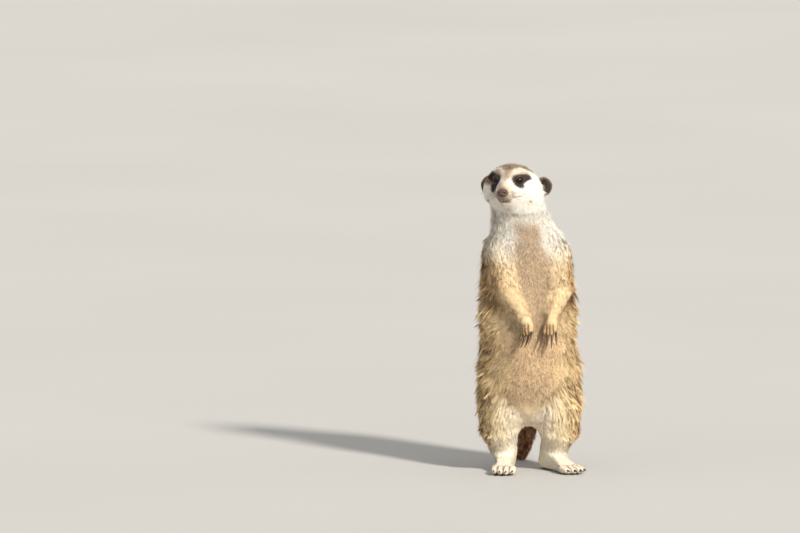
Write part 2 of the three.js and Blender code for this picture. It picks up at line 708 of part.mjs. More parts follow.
function makeAll() {
  const headAndNeck = joined(14, faceField, trunkField);
  const whole = joined(12, legsAndTrunk, faceField);
  const withArms = (by) => joined(9, whole, ...Object.values(ARMS).map((arm) => grown(armField(arm), by)));
  const outline = withArms(0);
  const tailRoom = makeTail();
  const armRooms = Object.entries(ARMS).map(([name, arm]) => makeArm(name, arm, outline));
  let body = solidOf(withArms(-ARM_SHRINK), vec(-70, -75, -14), vec(70, 95, 320), CELL.trunk);
  for (const [name, leg] of Object.entries(LEGS)) body = makeLeg(name, leg, body);
  body = keep(body, flipped(CUT.neckTop));
  const [neck, trunk] = part(body, CUT.neckBase);
  const free = (solid) => [tailRoom, ...armRooms].reduce((rest, room) => rest.subtract(room), solid);
  pieces.set('neck', free(neck));
  pieces.set('trunk', free(trunk));
  for (const name of Object.keys(LEGS)) {
    for (const piece of [`thigh_${name}`, `shank_${name}`]) pieces.set(piece, free(pieces.get(piece)));
  }
  makeHead(headAndNeck);
}

// ---------------------------------------------------------------- colours

const COLOURS = {
  coat: { color: 0xe3c79a, roughness: 0.9 },
  pale: { color: 0xf3e6cc, roughness: 0.9 },
  dark: { color: 0x4a3626, roughness: 0.85 },
  nose: { color: 0x33241c, roughness: 0.45 },
  claw: { color: 0x4d3128, roughness: 0.4 },
  eye: { color: 0x2a1509, roughness: 0.08 },
};

function finishOf(name) {
  if (name.startsWith('eye')) return 'eye';
  if (name.startsWith('nose')) return 'nose';
  if (name.includes('claw')) return 'claw';
  if (name.startsWith('ear') || name === 'tail_tip') return 'dark';
  if (name === 'head' || name === 'neck' || name.startsWith('foot')) return 'pale';
  return 'coat';
}

// ---------------------------------------------------------------- the animal

makeAll();

const animal = new THREE.Group();
for (const [name, solid] of pieces) {
  const material = new THREE.MeshStandardMaterial({ metalness: 0, ...COLOURS[finishOf(name)] });
  const mesh = new THREE.Mesh(toGeometry(solid), material);
  mesh.name = name;
  animal.add(mesh);
}

// The origin is on the floor under the middle of the whole animal.
const bounds = new THREE.Box3().setFromObject(animal);
const middle = bounds.getCenter(vec(0, 0, 0));
animal.position.set(-middle.x, -middle.y, -bounds.min.z);

export default animal;
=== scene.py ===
"""A life-size meerkat standing upright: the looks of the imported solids.

One skin replaces the solids of flesh and lies inside them by the depth of the coat. The coat is
tufts of thin blades rooted on that skin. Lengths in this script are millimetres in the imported
frame until a mesh is made, and +Z is up. The animal faces -Y and its left is +X.
"""
import math

import bmesh
import bpy
import numpy as np
from mathutils import Matrix, Vector
from mathutils.bvhtree import BVHTree
from mathutils.kdtree import KDTree


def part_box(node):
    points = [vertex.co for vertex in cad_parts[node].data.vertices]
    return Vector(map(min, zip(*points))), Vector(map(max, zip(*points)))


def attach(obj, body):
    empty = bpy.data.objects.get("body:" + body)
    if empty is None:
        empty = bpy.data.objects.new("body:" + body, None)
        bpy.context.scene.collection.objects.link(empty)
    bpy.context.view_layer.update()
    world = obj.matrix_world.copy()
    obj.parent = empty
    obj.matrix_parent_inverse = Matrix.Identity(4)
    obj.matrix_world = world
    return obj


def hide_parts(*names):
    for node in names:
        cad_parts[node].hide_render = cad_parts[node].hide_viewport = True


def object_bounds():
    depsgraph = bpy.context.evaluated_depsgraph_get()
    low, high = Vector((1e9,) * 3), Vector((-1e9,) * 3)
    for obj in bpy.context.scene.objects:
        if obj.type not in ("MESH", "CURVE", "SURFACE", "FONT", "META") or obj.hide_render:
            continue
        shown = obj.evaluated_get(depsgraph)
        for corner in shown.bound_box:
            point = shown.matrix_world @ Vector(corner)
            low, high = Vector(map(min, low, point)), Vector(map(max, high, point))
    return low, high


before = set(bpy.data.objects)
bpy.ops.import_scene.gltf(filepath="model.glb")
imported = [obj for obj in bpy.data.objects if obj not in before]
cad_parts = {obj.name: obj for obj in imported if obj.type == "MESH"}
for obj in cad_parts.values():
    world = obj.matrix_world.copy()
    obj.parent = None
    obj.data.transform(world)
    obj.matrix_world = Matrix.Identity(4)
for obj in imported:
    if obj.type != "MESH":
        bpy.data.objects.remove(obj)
cad_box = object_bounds()

# ---------------------------------------------------------------- driving values

MM = 0.001
SEED = 11
TRUNK_TURN = math.radians(10)    # the chest is turned towards +X
SKIN_VOXEL = 1.25
COAT_SHARE = 1.0
SIDES = {"left": 1, "right": -1}
EYE_TURN = math.radians(46)      # the eyes look this far outwards

FLESH = [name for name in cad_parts
         if not name.startswith(("eye", "nose", "front_claw", "hind_claw"))]
CLAWS = [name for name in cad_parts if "claw" in name]
BODY = [name for name in FLESH if not name.startswith("ear")]
UP = np.array((0.0, 0.0, 1.0))


# ---------------------------------------------------------------- small helpers

def unit(v):
    return v / np.maximum(np.linalg.norm(v, axis=-1, keepdims=True), 1e-9)


def step(low, high, value):
    """0 below low, 1 above high, and smooth between them. low may be the larger one."""
    t = np.clip((value - low) / (high - low), 0, 1)
    return t * t * (3 - 2 * t)


def mix(a, b, share):
    return a + (b - a) * share


def tint(a, b, share):
    """Colours a turned into colours b by one share each."""
    return mix(a, b, np.asarray(share, float)[..., None])


def hill(value, width):
    return np.exp(-(value / width) ** 2)


def linear(red, green, blue):
    """The linear colour of an 8-bit sRGB one."""
    c = np.array((red, green, blue)) / 255
    return np.where(c <= 0.04045, c / 12.92, ((c + 0.055) / 1.055) ** 2.4)


def middle(node):
    low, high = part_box(node)
    return np.array((low + high) / 2) / MM


def size_of(node):
    low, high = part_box(node)
    return np.array(high - low) / MM


def read(items, name, size, kind=np.float32):
    """One row of numbers for each item of a mesh."""
    flat = np.empty(len(items) * size, kind)
    items.foreach_get(name, flat)
    return flat.reshape(-1, size)


def points_of(mesh):
    return read(mesh.vertices, "co", 3).astype(float) / MM


def set_points(mesh, points):
    mesh.vertices.foreach_set("co", (points * MM).astype(np.float32).ravel())
    mesh.update()


def normals_of(mesh):
    return read(mesh.vertex_normals, "vector", 3).astype(float)


def edges_of(mesh):
    return read(mesh.edges, "vertices", 2, np.int32)


def face_centres(mesh):
    return read(mesh.polygons, "center", 3).astype(float) / MM


def relax(values, edges, weight, times):
    """Draws every vertex's values towards the mean of its neighbours'."""
    values = np.array(values, float)
    flat = values.reshape(len(values), -1)
    a, b = edges.T
    count = np.maximum(np.bincount(edges.ravel(), minlength=len(flat)), 1)
    weight = np.broadcast_to(weight, len(flat))
    for _ in range(times):
        for k in range(flat.shape[1]):
            column = flat[:, k]
            total = np.bincount(a, column[b], len(flat)) + np.bincount(b, column[a], len(flat))
            flat[:, k] += weight * (total / count - column)
    return flat.reshape(values.shape)


def mesh_from(bm, name):
    """A new mesh with what a bmesh holds, which is then let go."""
    mesh = bpy.data.meshes.new(name)
    bm.to_mesh(mesh)
    bm.free()
    return mesh


def tree_of(points):
    """A tree that finds the nearest of these points."""
    tree = KDTree(len(points))
    for index, point in enumerate(points.tolist()):
        tree.insert(point, index)
    tree.balance()
    return tree


def nearest(tree, points):
    return np.array([tree.find(point)[1] for point in points.tolist()])


def add_object(name, data):
    obj = bpy.data.objects.new(name, data)
    bpy.context.scene.collection.objects.link(obj)
    return obj


def applied(obj):
    """Replaces an object's mesh with the result of its modifiers."""
    graph = bpy.context.evaluated_depsgraph_get()
    mesh = bpy.data.meshes.new_from_object(obj.evaluated_get(graph))
    obj.modifiers.clear()
    obj.data = mesh
    return obj


def voxel_remesh(obj, size):
    modifier = obj.modifiers.new("remesh", "REMESH")
    modifier.mode = "VOXEL"
    modifier.voxel_size = size * MM
    return applied(obj)


def shade_smooth(mesh):
    mesh.polygons.foreach_set("use_smooth", np.ones(len(mesh.polygons), bool))


def put_attribute(mesh, name, values):
    """Stores one number or one colour for each vertex."""
    if np.ndim(values) == 1:
        layer = mesh.attributes.new(name, "FLOAT", "POINT")
        layer.data.foreach_set("value", values.astype(np.float32))
        return
    layer = mesh.attributes.new(name, "FLOAT_COLOR", "POINT")
    full = np.ones((len(values), 4), np.float32)
    full[:, :3] = values
    layer.data.foreach_set("color", full.ravel())


# ---------------------------------------------------------------- the head's own frame

EYES = {side: middle(f"eye_{side}") for side in SIDES}
EYE_RADIUS = size_of("eye_left")[2] / 2
EYE_MIDDLE = (EYES["left"] + EYES["right"]) / 2
HEAD_LEFT = unit((EYES["left"] - EYES["right"]) * (1, 1, 0))
HEAD_BACK = np.cross(UP, HEAD_LEFT)
HEAD_AXES = np.array((HEAD_LEFT, HEAD_BACK, UP))


def in_head(points):
    """Places in millimetres from the point between the eyes: left, back, up."""
    return (points - EYE_MIDDLE) @ HEAD_AXES.T


def from_head(places):
    return np.asarray(places, float) @ HEAD_AXES + EYE_MIDDLE


NOSE = in_head(middle("nose"))
NOSE_TIP = NOSE - (0, size_of("nose")[1] * 0.42, 0)


def eye_axes(side):
    """An eye's own axes in the head's frame: forwards along the gaze, outwards, up."""
    sign = SIDES[side]
    gaze = unit(np.array((sign * math.sin(EYE_TURN), -math.cos(EYE_TURN), 0.06)))
    out = unit(np.array((sign * math.cos(EYE_TURN), math.sin(EYE_TURN), 0.0)))
    up = np.cross(out, gaze) * sign
    return gaze, out, up * np.sign(up[2])


def in_eye(places, side):
    """Head places seen from an eye: along the gaze, outwards and up from its centre."""
    offset = places - in_head(EYES[side])
    gaze, out, up = eye_axes(side)
    return offset @ gaze, offset @ out, offset @ up


# ---------------------------------------------------------------- the trunk's own frame

FRONT = np.array((math.sin(TRUNK_TURN), -math.cos(TRUNK_TURN), 0))
LEFT = np.array((math.cos(TRUNK_TURN), math.sin(TRUNK_TURN), 0))


def trunk_axis():
    """The line up the middle of the body, as two curves of the height."""
    points = np.concatenate([points_of(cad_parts[n].data) for n in ("trunk", "neck")])
    bins = np.linspace(60, 255, 14)
    heights, centres = [], []
    for low, high in zip(bins[:-1], bins[1:]):
        band = points[(points[:, 2] >= low - 8) & (points[:, 2] < high + 8)]
        heights.append((low + high) / 2)
        centres.append((band.min(0) + band.max(0))[:2] / 2)
    return [np.polyfit(heights, np.array(centres)[:, k], 3) for k in (0, 1)]


AXIS = trunk_axis()


def from_axis(points):
    height = np.clip(points[:, 2], 60, 255)
    centre = np.stack([np.polyval(curve, height) for curve in AXIS], 1)
    return points[:, :2] - centre


def trunk_angle(points):
    """The angle round the body: 0 at the middle of the chest, positive to the animal's left."""
    offset = from_axis(points)
    return np.arctan2(offset @ LEFT[:2], offset @ FRONT[:2])


# ---------------------------------------------------------------- the skin: shape

def claw_line(name):
    """Root and tip of a claw, and the direction it leaves its toe in."""
    points = points_of(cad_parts[name].data)
    limb = name.replace("front_claw", "hand").replace("hind_claw", "foot").rsplit("_", 1)[0]
    home = middle(limb)
    if limb.startswith("foot"):
        home = middle(limb.replace("foot", "shank"))
    far = points[np.argmax(np.linalg.norm(points - home, axis=1))]
    reach = np.linalg.norm(points - far, axis=1)
    root = points[reach > reach.max() - 2.5].mean(0)
    ahead = points[(reach > reach.max() * 0.45) & (reach < reach.max() - 2.5)]
    aim = (ahead.mean(0) if len(ahead) else far) - root
    return root, far, unit(aim)


def add_ball(bm, centre, radius):
    place = Matrix.Translation(Vector(centre * MM))
    bmesh.ops.create_icosphere(bm, subdivisions=2, radius=radius * MM, matrix=place)


def flesh_object():
    """The body's solids with the eyes and the nose, and balls that round the fingers and toes."""
    bm = bmesh.new()
    for name in (*BODY, "eye_left", "eye_right", "nose"):
        bm.from_mesh(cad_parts[name].data)
    for name in CLAWS:
        root, _, aim = claw_line(name)
        front = name.startswith("front")
        length, thick, end = (9, 3.0, 2.5) if front else (10, 4.3, 3.5)
        back = aim if front else unit(aim * (1, 1, 0))
        for share in np.linspace(0, 1, 6):
            centre = root - back * length * (1 - share)
            if not front:
                centre[2] = max(centre[2] + 1.6 * (1 - share), end - 0.4)
            add_ball(bm, centre, thick + (end - thick) * share)
    return add_object("skin", mesh_from(bm, "skin"))


def nearest_node(points):
    """The index in FLESH of the solid of flesh, other than an ear, nearest to each point."""
    corners, faces, owner = [], [], []
    for name in BODY:
        index = FLESH.index(name)
        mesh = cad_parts[name].data
        start = len(corners)
        corners += [v.co[:] for v in mesh.vertices]
        faces += [[start + v for v in p.vertices] for p in mesh.polygons]
        owner += [index] * len(mesh.polygons)
    tree = BVHTree.FromPolygons(corners, faces)
    found = [tree.find_nearest(Vector(p))[2] for p in (points * MM).tolist()]
    return np.array(owner)[found]


# What each solid of flesh is like: how far its facets are smoothed, the depth of its coat, and
# the tufts' length, width, lift (the sine of their slope) and number for each square millimetre.
COAT_KINDS = {
    "head": dict(smooth=0.10, depth=2.0, length=4.6, width=0.32, lift=0.28, dense=7.5),
    "ear": dict(smooth=0.1, depth=1.0, length=1.7, width=0.24, lift=0.16, dense=9.0),
    "neck": dict(smooth=0.7, depth=3.4, length=8.0, width=0.38, lift=0.36, dense=4.7),
    "trunk": dict(smooth=1.0, depth=5.6, length=14.5, width=0.40, lift=0.32, dense=5.2),
    "upper_arm": dict(smooth=0.5, depth=3.2, length=7.8, width=0.42, lift=0.30, dense=5.0),
    "forearm": dict(smooth=0.35, depth=1.7, length=5.2, width=0.34, lift=0.24, dense=7.0),
    "hand": dict(smooth=0.06, depth=0.6, length=1.9, width=0.24, lift=0.18, dense=9.5),
    "thigh": dict(smooth=0.7, depth=4.8, length=12.0, width=0.38, lift=0.34, dense=5.0),
    "shank": dict(smooth=0.6, depth=2.2, length=8.0, width=0.38, lift=0.32, dense=5.2),
    "foot": dict(smooth=0.07, depth=0.7, length=2.1, width=0.26, lift=0.18, dense=6.4),
    "tail_base": dict(smooth=0.3, depth=3.0, length=8.5, width=0.44, lift=0.28, dense=4.2),
    "tail_middle": dict(smooth=0.3, depth=1.8, length=6.5, width=0.38, lift=0.24, dense=6.5),
    "tail_tip": dict(smooth=0.2, depth=1.5, length=6.0, width=0.34, lift=0.22, dense=7.5),
}


def kind_of(node):
    return node.removesuffix("_left").removesuffix("_right")


def spread_kinds(labels, edges, key, times):
    table = np.array([COAT_KINDS[kind_of(name)][key] for name in FLESH])
    return relax(table[labels], edges, 0.8, times)


def refine(mesh, chosen):
    """Cuts every edge of the chosen faces in two."""
    bm = bmesh.new()
    bm.from_mesh(mesh)
    bm.faces.ensure_lookup_table()
    edges = {edge for index in chosen for edge in bm.faces[index].edges}
    bmesh.ops.subdivide_edges(bm, edges=list(edges), cuts=1, use_grid_fill=True)
    bm.to_mesh(mesh)
    bm.free()


def lid_opening(out, up):
    """Under 1 inside the almond between the lids, 1 on the lids' edges, and more outside."""
    slant = up - 0.10 * out
    return (np.abs(out) / 4.15) ** 1.7 + (np.abs(slant) / 3.15) ** 1.7


def sculpt_eyes(points):
    """Lids that hug the eyeballs, with a soft ridge round the opening."""
    places = in_head(points)
    for side in SIDES:
        ahead, out, up = in_eye(places, side)
        radius = np.sqrt(ahead ** 2 + out ** 2 + up ** 2)
        scale = EYE_RADIUS / np.maximum(radius, 1e-6)
        opening = lid_opening(out * scale, up * scale)
        lid = EYE_RADIUS + 0.45 + 0.35 * hill(opening - 1.25, 0.3)
        rest = step(1.3, 3.4, opening)
        target = mix(lid, radius, rest)
        target = mix(target, EYE_RADIUS - 1.1, step(1.08, 0.86, opening))
        near = step(11, 8, radius) * step(-0.5, 0.9, ahead)
        radius_new = mix(radius, target, near)
        gaze, outwards, upwards = eye_axes(side)
        offset = (ahead[:, None] * gaze + out[:, None] * outwards + up[:, None] * upwards)
        offset *= (radius_new / np.maximum(radius, 1e-6))[:, None]
        places = offset + in_head(EYES[side])
    return from_head(places)


def mouth_height(back):
    """How high the line between the lips runs, from under the nose to its corner."""
    return -19.3 + 4.6 * step(-24, 3, back)


def sculpt_face(points, normals):
    """The mouth line with a lip above it, the groove under the nose and whisker beds."""
    side, back, up = in_head(points).T
    line = mouth_height(back)
    along = step(-30, -27, back) * step(3.0, -1.0, back) * step(0, 3, 15 - np.abs(side))
    groove = 0.85 * hill(up - line, 0.7) * along
    lip = 0.30 * hill(up - line - 1.6, 1.1) * along
    cleft = 0.6 * hill(side, 0.6) * step(-17, -21, back) * step(-19.3, -18.3, up) * step(-9, -11, up)
    rows = 0.10 * np.sin((up + 0.2 * back) * 2.6) * np.sin(back * 1.9)
    beds = rows * step(-27, -22, back) * step(-10, -14, back) * step(-9, -11, up) * step(-18.5, -16.5, up)
    return points + normals * (lip + beds - groove - cleft)[:, None]


def digit_gaps(points):
    """1 along the clefts between neighbouring fingers or toes, and 0 away from them."""
    gaps = np.zeros(len(points))
    for side in SIDES:
        for limb, length in (("front", 9.5), ("hind", 11)):
            lines = [claw_line(f"{limb}_claw_{side}_{n}") for n in range(1, 5)]
            home = np.mean([root for root, _, _ in lines], axis=0)
            near = np.flatnonzero(np.linalg.norm(points - home, axis=1) < 22)
            spots, reach = [], []
            for root, _, aim in lines:
                offset = points[near] - root
                along = offset @ aim
                reach.append(along)
                spots.append(np.linalg.norm(offset - np.clip(along, -length, 2)[:, None] * aim, axis=1))
            order = np.sort(spots, axis=0)
            along = np.max(reach, axis=0)
            cleft = hill(order[1] - order[0], 1.0) * step(-length, -length + 4, along) * step(8, 5, order[0])
            gaps[near] = np.maximum(gaps[near], cleft)
    return gaps


def part_digits(mesh):
    """Finer mesh on the hands and the toes, with clefts between the digits."""
    for reach in (9.0, 6.5):
        centres = face_centres(mesh)
        near = np.zeros(len(centres), bool)
        for name in CLAWS:
            root, _, aim = claw_line(name)
            near |= np.linalg.norm(centres - root + aim * 4, axis=1) < reach
        refine(mesh, np.flatnonzero(near))
    points, normals = points_of(mesh), normals_of(mesh)
    gaps = digit_gaps(points)
    points = points - normals * (1.3 * gaps)[:, None]
    points = relax(points, edges_of(mesh), 0.35 * (gaps > 0.02), 2)
    set_points(mesh, points)


def make_skin():
    obj = voxel_remesh(flesh_object(), SKIN_VOXEL)
    mesh = obj.data
    points, edges = points_of(mesh), edges_of(mesh)
    labels = nearest_node(points)
    smooth = spread_kinds(labels, edges, "smooth", 6)
    points = relax(points, edges, smooth * 0.9, 70)
    set_points(mesh, points)
    side, back, up = in_head(points).T
    depth = spread_kinds(labels, edges, "depth", 14)
    on_head = relax((labels == FLESH.index("head")).astype(float), edges, 0.8, 4)
    muzzle = step(8, -14, back)
    depth = mix(depth, 1.9 - 1.15 * muzzle + 1.3 * step(8, 30, back), on_head)
    trunk = (labels == FLESH.index("trunk")).astype(float)
    shallow = 0.55 * step(60, 25, np.degrees(np.abs(trunk_angle(points))))
    shallow = np.maximum(shallow, 0.6 * step(185, 222, points[:, 2]))
    depth = depth * (1 - relax(shallow * trunk, edges, 0.8, 10)) * step(-0.5, 4.5, points[:, 2])
    points = points - normals_of(mesh) * depth[:, None]
    points = relax(points, edges, 0.25 * (1 - on_head), 4)
    set_points(mesh, points)
    return obj


def refine_face(obj):
    """Finer mesh where the eyes, the nose and the mouth are, and their sculpting."""
    mesh = obj.data
    for reach, close in ((18, False), (11, True)):
        places = in_head(face_centres(mesh))
        chosen = (places[:, 1] < reach - 4) & (places[:, 2] > -26) & (np.abs(places[:, 0]) < 30)
        if close:
            eyes = [np.linalg.norm(places - in_head(EYES[side]), axis=1) < 10 for side in SIDES]
            snout = (places[:, 1] < 0) & (np.abs(places[:, 2] - mouth_height(places[:, 1])) < 4)
            chosen &= np.logical_or.reduce(eyes + [snout])
        refine(mesh, np.flatnonzero(chosen))
        points = points_of(mesh)
        places = in_head(points)
        near = step(reach + 2, reach - 6, places[:, 1]) * step(-28, -25, places[:, 2])
        points = relax(points, edges_of(mesh), 0.5 * near, 3)
        set_points(mesh, points)
    part_digits(mesh)
    points = sculpt_eyes(points_of(mesh))
    set_points(mesh, points)
    set_points(mesh, sculpt_face(points, normals_of(mesh)))


# ---------------------------------------------------------------- ears

EAR_WIDE, EAR_HIGH = 7.2, 8.7    # half the ear's width and height
EAR_RINGS, EAR_SPOKES = 16, 48


def ear_frame(side):
    """Centre and axes of an ear in the head's frame: the way it opens, outwards and up."""
    sign = SIDES[side]
    facing = unit(np.array((sign * 0.78, -0.6, 0.16)))
    out = unit(np.array((sign * 0.61, 0.79, 0.0)))
    up = unit(np.cross(out, facing))
    return in_head(middle(f"ear_{side}")), facing, out, up * np.sign(up[2])


def on_ear(places, side):
    """Head places on an ear's disc: outwards and up from its middle, and 1 on its rim."""
    centre, _, out, up = ear_frame(side)
    offset = places - centre
    across, high = offset @ out, offset @ up
    return across, high, np.hypot(across / EAR_WIDE, high / EAR_HIGH)


def ear_sheet(side, behind):
    """One face of an ear as a disc of rings: the folded bowl in front or the plain back."""
    centre, facing, out, up = ear_frame(side)
    share = np.linspace(0, 1, EAR_RINGS + 1)[1:, None]
    angle = np.linspace(0, 2 * np.pi, EAR_SPOKES, endpoint=False)[None, :]
    a, b = share * np.cos(angle), share * np.sin(angle)
    narrow = 1 - 0.16 * np.maximum(-b, 0)
    rolled = 1.8 * np.maximum(a, 0) ** 2 - 1.2 * b * b + 1.0 * hill(share - 0.97, 0.1) * step(-0.4, 0.5, a)
    depth = (3.0 if behind else 2.0) * (1 - share ** 3)
    height = rolled - depth - (0.9 if behind else 0)
    if not behind:
        fold = 1.1 * hill(np.hypot(a - 0.05, b * 0.8 - 0.1) - 0.52, 0.13) * step(-0.75, -0.1, a)
        flap = 1.3 * hill(a + 0.62, 0.2) * hill(b + 0.25, 0.35)
        canal = -2.4 * hill(np.hypot(a + 0.35, b + 0.2), 0.24)
        height = height + fold + flap + canal
    places = (centre + (a * narrow * EAR_WIDE)[..., None] * out
              + (b * EAR_HIGH)[..., None] * up + height[..., None] * facing)
    return places.reshape(-1, 3)


def add_ears(mesh):
    """Joins both ears to the skin's mesh, after all of its own vertices."""
    bm = bmesh.new()
    bm.from_mesh(mesh)
    last = (EAR_RINGS - 1) * EAR_SPOKES
    for side in SIDES:
        faces, sheets = [], []
        for behind in (False, True):
            places = ear_sheet(side, behind)
            corners = [bm.verts.new(Vector(p * MM)) for p in from_head(places)]
            hub = bm.verts.new(Vector(from_head(places[:EAR_SPOKES].mean(0)) * MM))
            sheets.append(corners)
            for s in range(EAR_SPOKES):
                n = (s + 1) % EAR_SPOKES
                faces.append(bm.faces.new((hub, corners[s], corners[n])))
                for low in range(0, last, EAR_SPOKES):
                    high = low + EAR_SPOKES
                    four = (corners[low + s], corners[high + s], corners[high + n], corners[low + n])
                    faces.append(bm.faces.new(four))
        front, back = sheets
        for s in range(EAR_SPOKES):
            n = (s + 1) % EAR_SPOKES
            faces.append(bm.faces.new((front[last + s], back[last + s], back[last + n], front[last + n])))
        bmesh.ops.recalc_face_normals(bm, faces=faces)
    bm.to_mesh(mesh)
    bm.free()


# ---------------------------------------------------------------- markings

WHITE = linear(254, 248, 238)
CREAM = linear(252, 232, 190)
SAND = linear(246, 208, 146)
TAWNY = linear(222, 172, 108)
BROWN = linear(154, 112, 72)
RED_BROWN = linear(168, 94, 46)
DARK = linear(78, 52, 33)
BLACK = linear(24, 17, 13)
PALE_TIP = linear(252, 224, 178)
# A warm cream for pale fur underneath and inside the legs: partly the fur's own colour and partly painted
# warm light bounced up from the ground.
WARM_BOUNCE_CREAM = linear(255, 226, 178)
ARM_CREAM = linear(240, 214, 170)
BACK_GREY = linear(184, 148, 106)
BARE_CHEST = linear(202, 176, 146)
BARE_BELLY = linear(238, 202, 162)
MUZZLE_GREY = linear(222, 205, 186)
CROWN = linear(120, 84, 58)
SNOUT = linear(150, 125, 106)


def nearest_eye(places):
    """For each head place: gaze, outward and up distances from the eye on its own side."""
    left = np.stack(in_eye(places, "left"), 1)
    right = np.stack(in_eye(places, "right"), 1)
    return np.where(places[:, :1] > 0, left, right).T


def eye_patch(places):
    """The dark patch round each eye, drawn out backwards and down towards the nose."""
    ahead, out, up = nearest_eye(places)
    wide = np.where(out > 0, 12.2, 9.8)
    high = np.where(up > 0, 6.2, np.clip(6.8 - 0.6 * out, 1.5, 6.6))
    lean = up - 0.12 * np.maximum(out, 0)
    ring = np.hypot(out / wide, lean / high)
    tear = 2.2 * step(4, -4, places[:, 0])
    lobe = np.hypot((out + 1.2 + 0.2 * up) / 4.4, (up + 3.2 + tear) / (4.8 + tear))
    ragged = 0.09 * np.sin(places @ (1.9, 0.7, 1.3)) * np.sin(places @ (-1.1, 0.9, 2.3) + 1)
    return step(1.2, 0.8, np.minimum(ring, lobe) + ragged) * step(-6, -2, ahead)


def head_markings(places):
    """Colour and share of dark-tipped hair on the head."""
    side, back, up = places.T
    wide = np.abs(side)
    colour = np.broadcast_to(WHITE, places.shape).copy()
    grizzle = np.full(len(places), 0.05)

    edge = 8.4 + 2.2 * hill(wide - 9.5, 5.0) - 0.38 * np.maximum(back - 6, 0) + 0.05 * wide
    crown = step(-1.8, 2.2, up - edge)
    colour = tint(colour, tint(CROWN, CREAM, 0.3 * step(10, 20, wide)), crown * 0.92)
    grizzle = mix(grizzle, 0.9, crown)
    brow = step(-1, 4, up) * step(10, 2, back) * (1 - crown)
    colour = tint(colour, MUZZLE_GREY, 0.8 * brow)
    grizzle = np.maximum(grizzle, 0.4 * brow)
    stripe = hill(wide, 3.2) * step(-4, 6, up) * step(6, 0, back)
    colour = tint(colour, CROWN, 0.6 * stripe)
    grizzle = np.maximum(grizzle, 0.5 * stripe)
    nape = step(26, 38, back) * step(-26, -10, up)
    colour = tint(colour, tint(BACK_GREY, TAWNY, 0.15), nape)
    grizzle = np.maximum(grizzle, 0.7 * nape)
    temple = step(9, 15, wide) * step(16, 24, back) * step(-12, -2, up) * (1 - crown)
    colour = tint(colour, CREAM, 0.7 * temple)

    from_nose = np.linalg.norm((places - NOSE_TIP) * (1.0, 0.8, 0.85), axis=1)
    muzzle = step(20, 8, from_nose) * step(3, -3, up)
    colour = tint(colour, MUZZLE_GREY, 0.8 * muzzle)
    grizzle = mix(grizzle, 0.55, muzzle)
    snout = step(9.5, 5.4, from_nose)
    lip = step(8.0, 4.5, wide) * step(-8, -16, back) * step(-20.4, -18.6, up) * step(-9, -12, up)
    colour = tint(colour, SNOUT, np.maximum(0.9 * snout, 0.7 * lip))
    grizzle = np.maximum(grizzle, 0.8 * np.maximum(snout, lip))
    chin = step(-19.0, -20.5, up) * step(-8, -14, back)
    colour = tint(colour, WHITE, 0.8 * chin)
    grizzle = mix(grizzle, 0.25, chin)
    # A tan band under the chin: partly tan fur and partly painted shade below the jaw.
    throat = step(-25.5, -28, up) * step(2, -3, back) * step(17, 11, wide)
    colour = tint(colour, BARE_CHEST, 0.7 * throat)
    # Painted shade: a dark brown band from the right eye back towards the ear, on the right side only.
    shaded = step(9, 13, -side) * step(-7.5, -3.5, up - 0.1 * back) * step(9, 5, up) * step(24, 14, back)
    colour = tint(colour, tint(BROWN, DARK, 0.7), 0.9 * shaded)
    grizzle = mix(grizzle, 0.08, shaded)
    patch = eye_patch(places)
    # The right patch is pure black and the left one a little browner: the extra darkness on the right is
    # painted shade.
    colour = tint(colour, tint(BLACK, DARK, 0.25 * step(-4, 4, side)), 0.98 * patch)
    grizzle = mix(grizzle, 0.03, patch)
    spot = hill(np.hypot(wide - 19.7, up + 19.8), 1.3) * step(20, 8, back)
    return tint(colour, BROWN, 0.9 * spot), grizzle


def ear_markings(places):
    """Nearly black ears with a browner rim."""
    rim = step(0.74, 1.0, np.minimum(*(on_ear(places, side)[2] for side in SIDES)))
    return tint(tint(BLACK, DARK, 0.6), tint(SNOUT, DARK, 0.45), rim), 0.3 * rim


BAND_STEP = 12.5    # the dark bands across the lower back
BAND_LOW, BAND_HIGH = 62, 172


def streaks(points):
    """Soft patches, longer than they are wide, from -1 to 1."""
    x, y, z = points.T
    across = np.sin(0.45 * x + 0.13 * z) + np.sin(0.45 * y - 0.11 * z + 1)
    return 0.5 * across * np.sin(0.2 * z + 0.06 * (x + y))


def streaked(colour, points, share):
    """A colour broken up by browner and paler streaks, to a share at each point."""
    lean = streaks(points)
    colour = tint(colour, BROWN, 0.6 * share * step(0.05, 0.5, lean))
    return tint(colour, CREAM, 0.4 * share * step(0.05, 0.5, -lean))


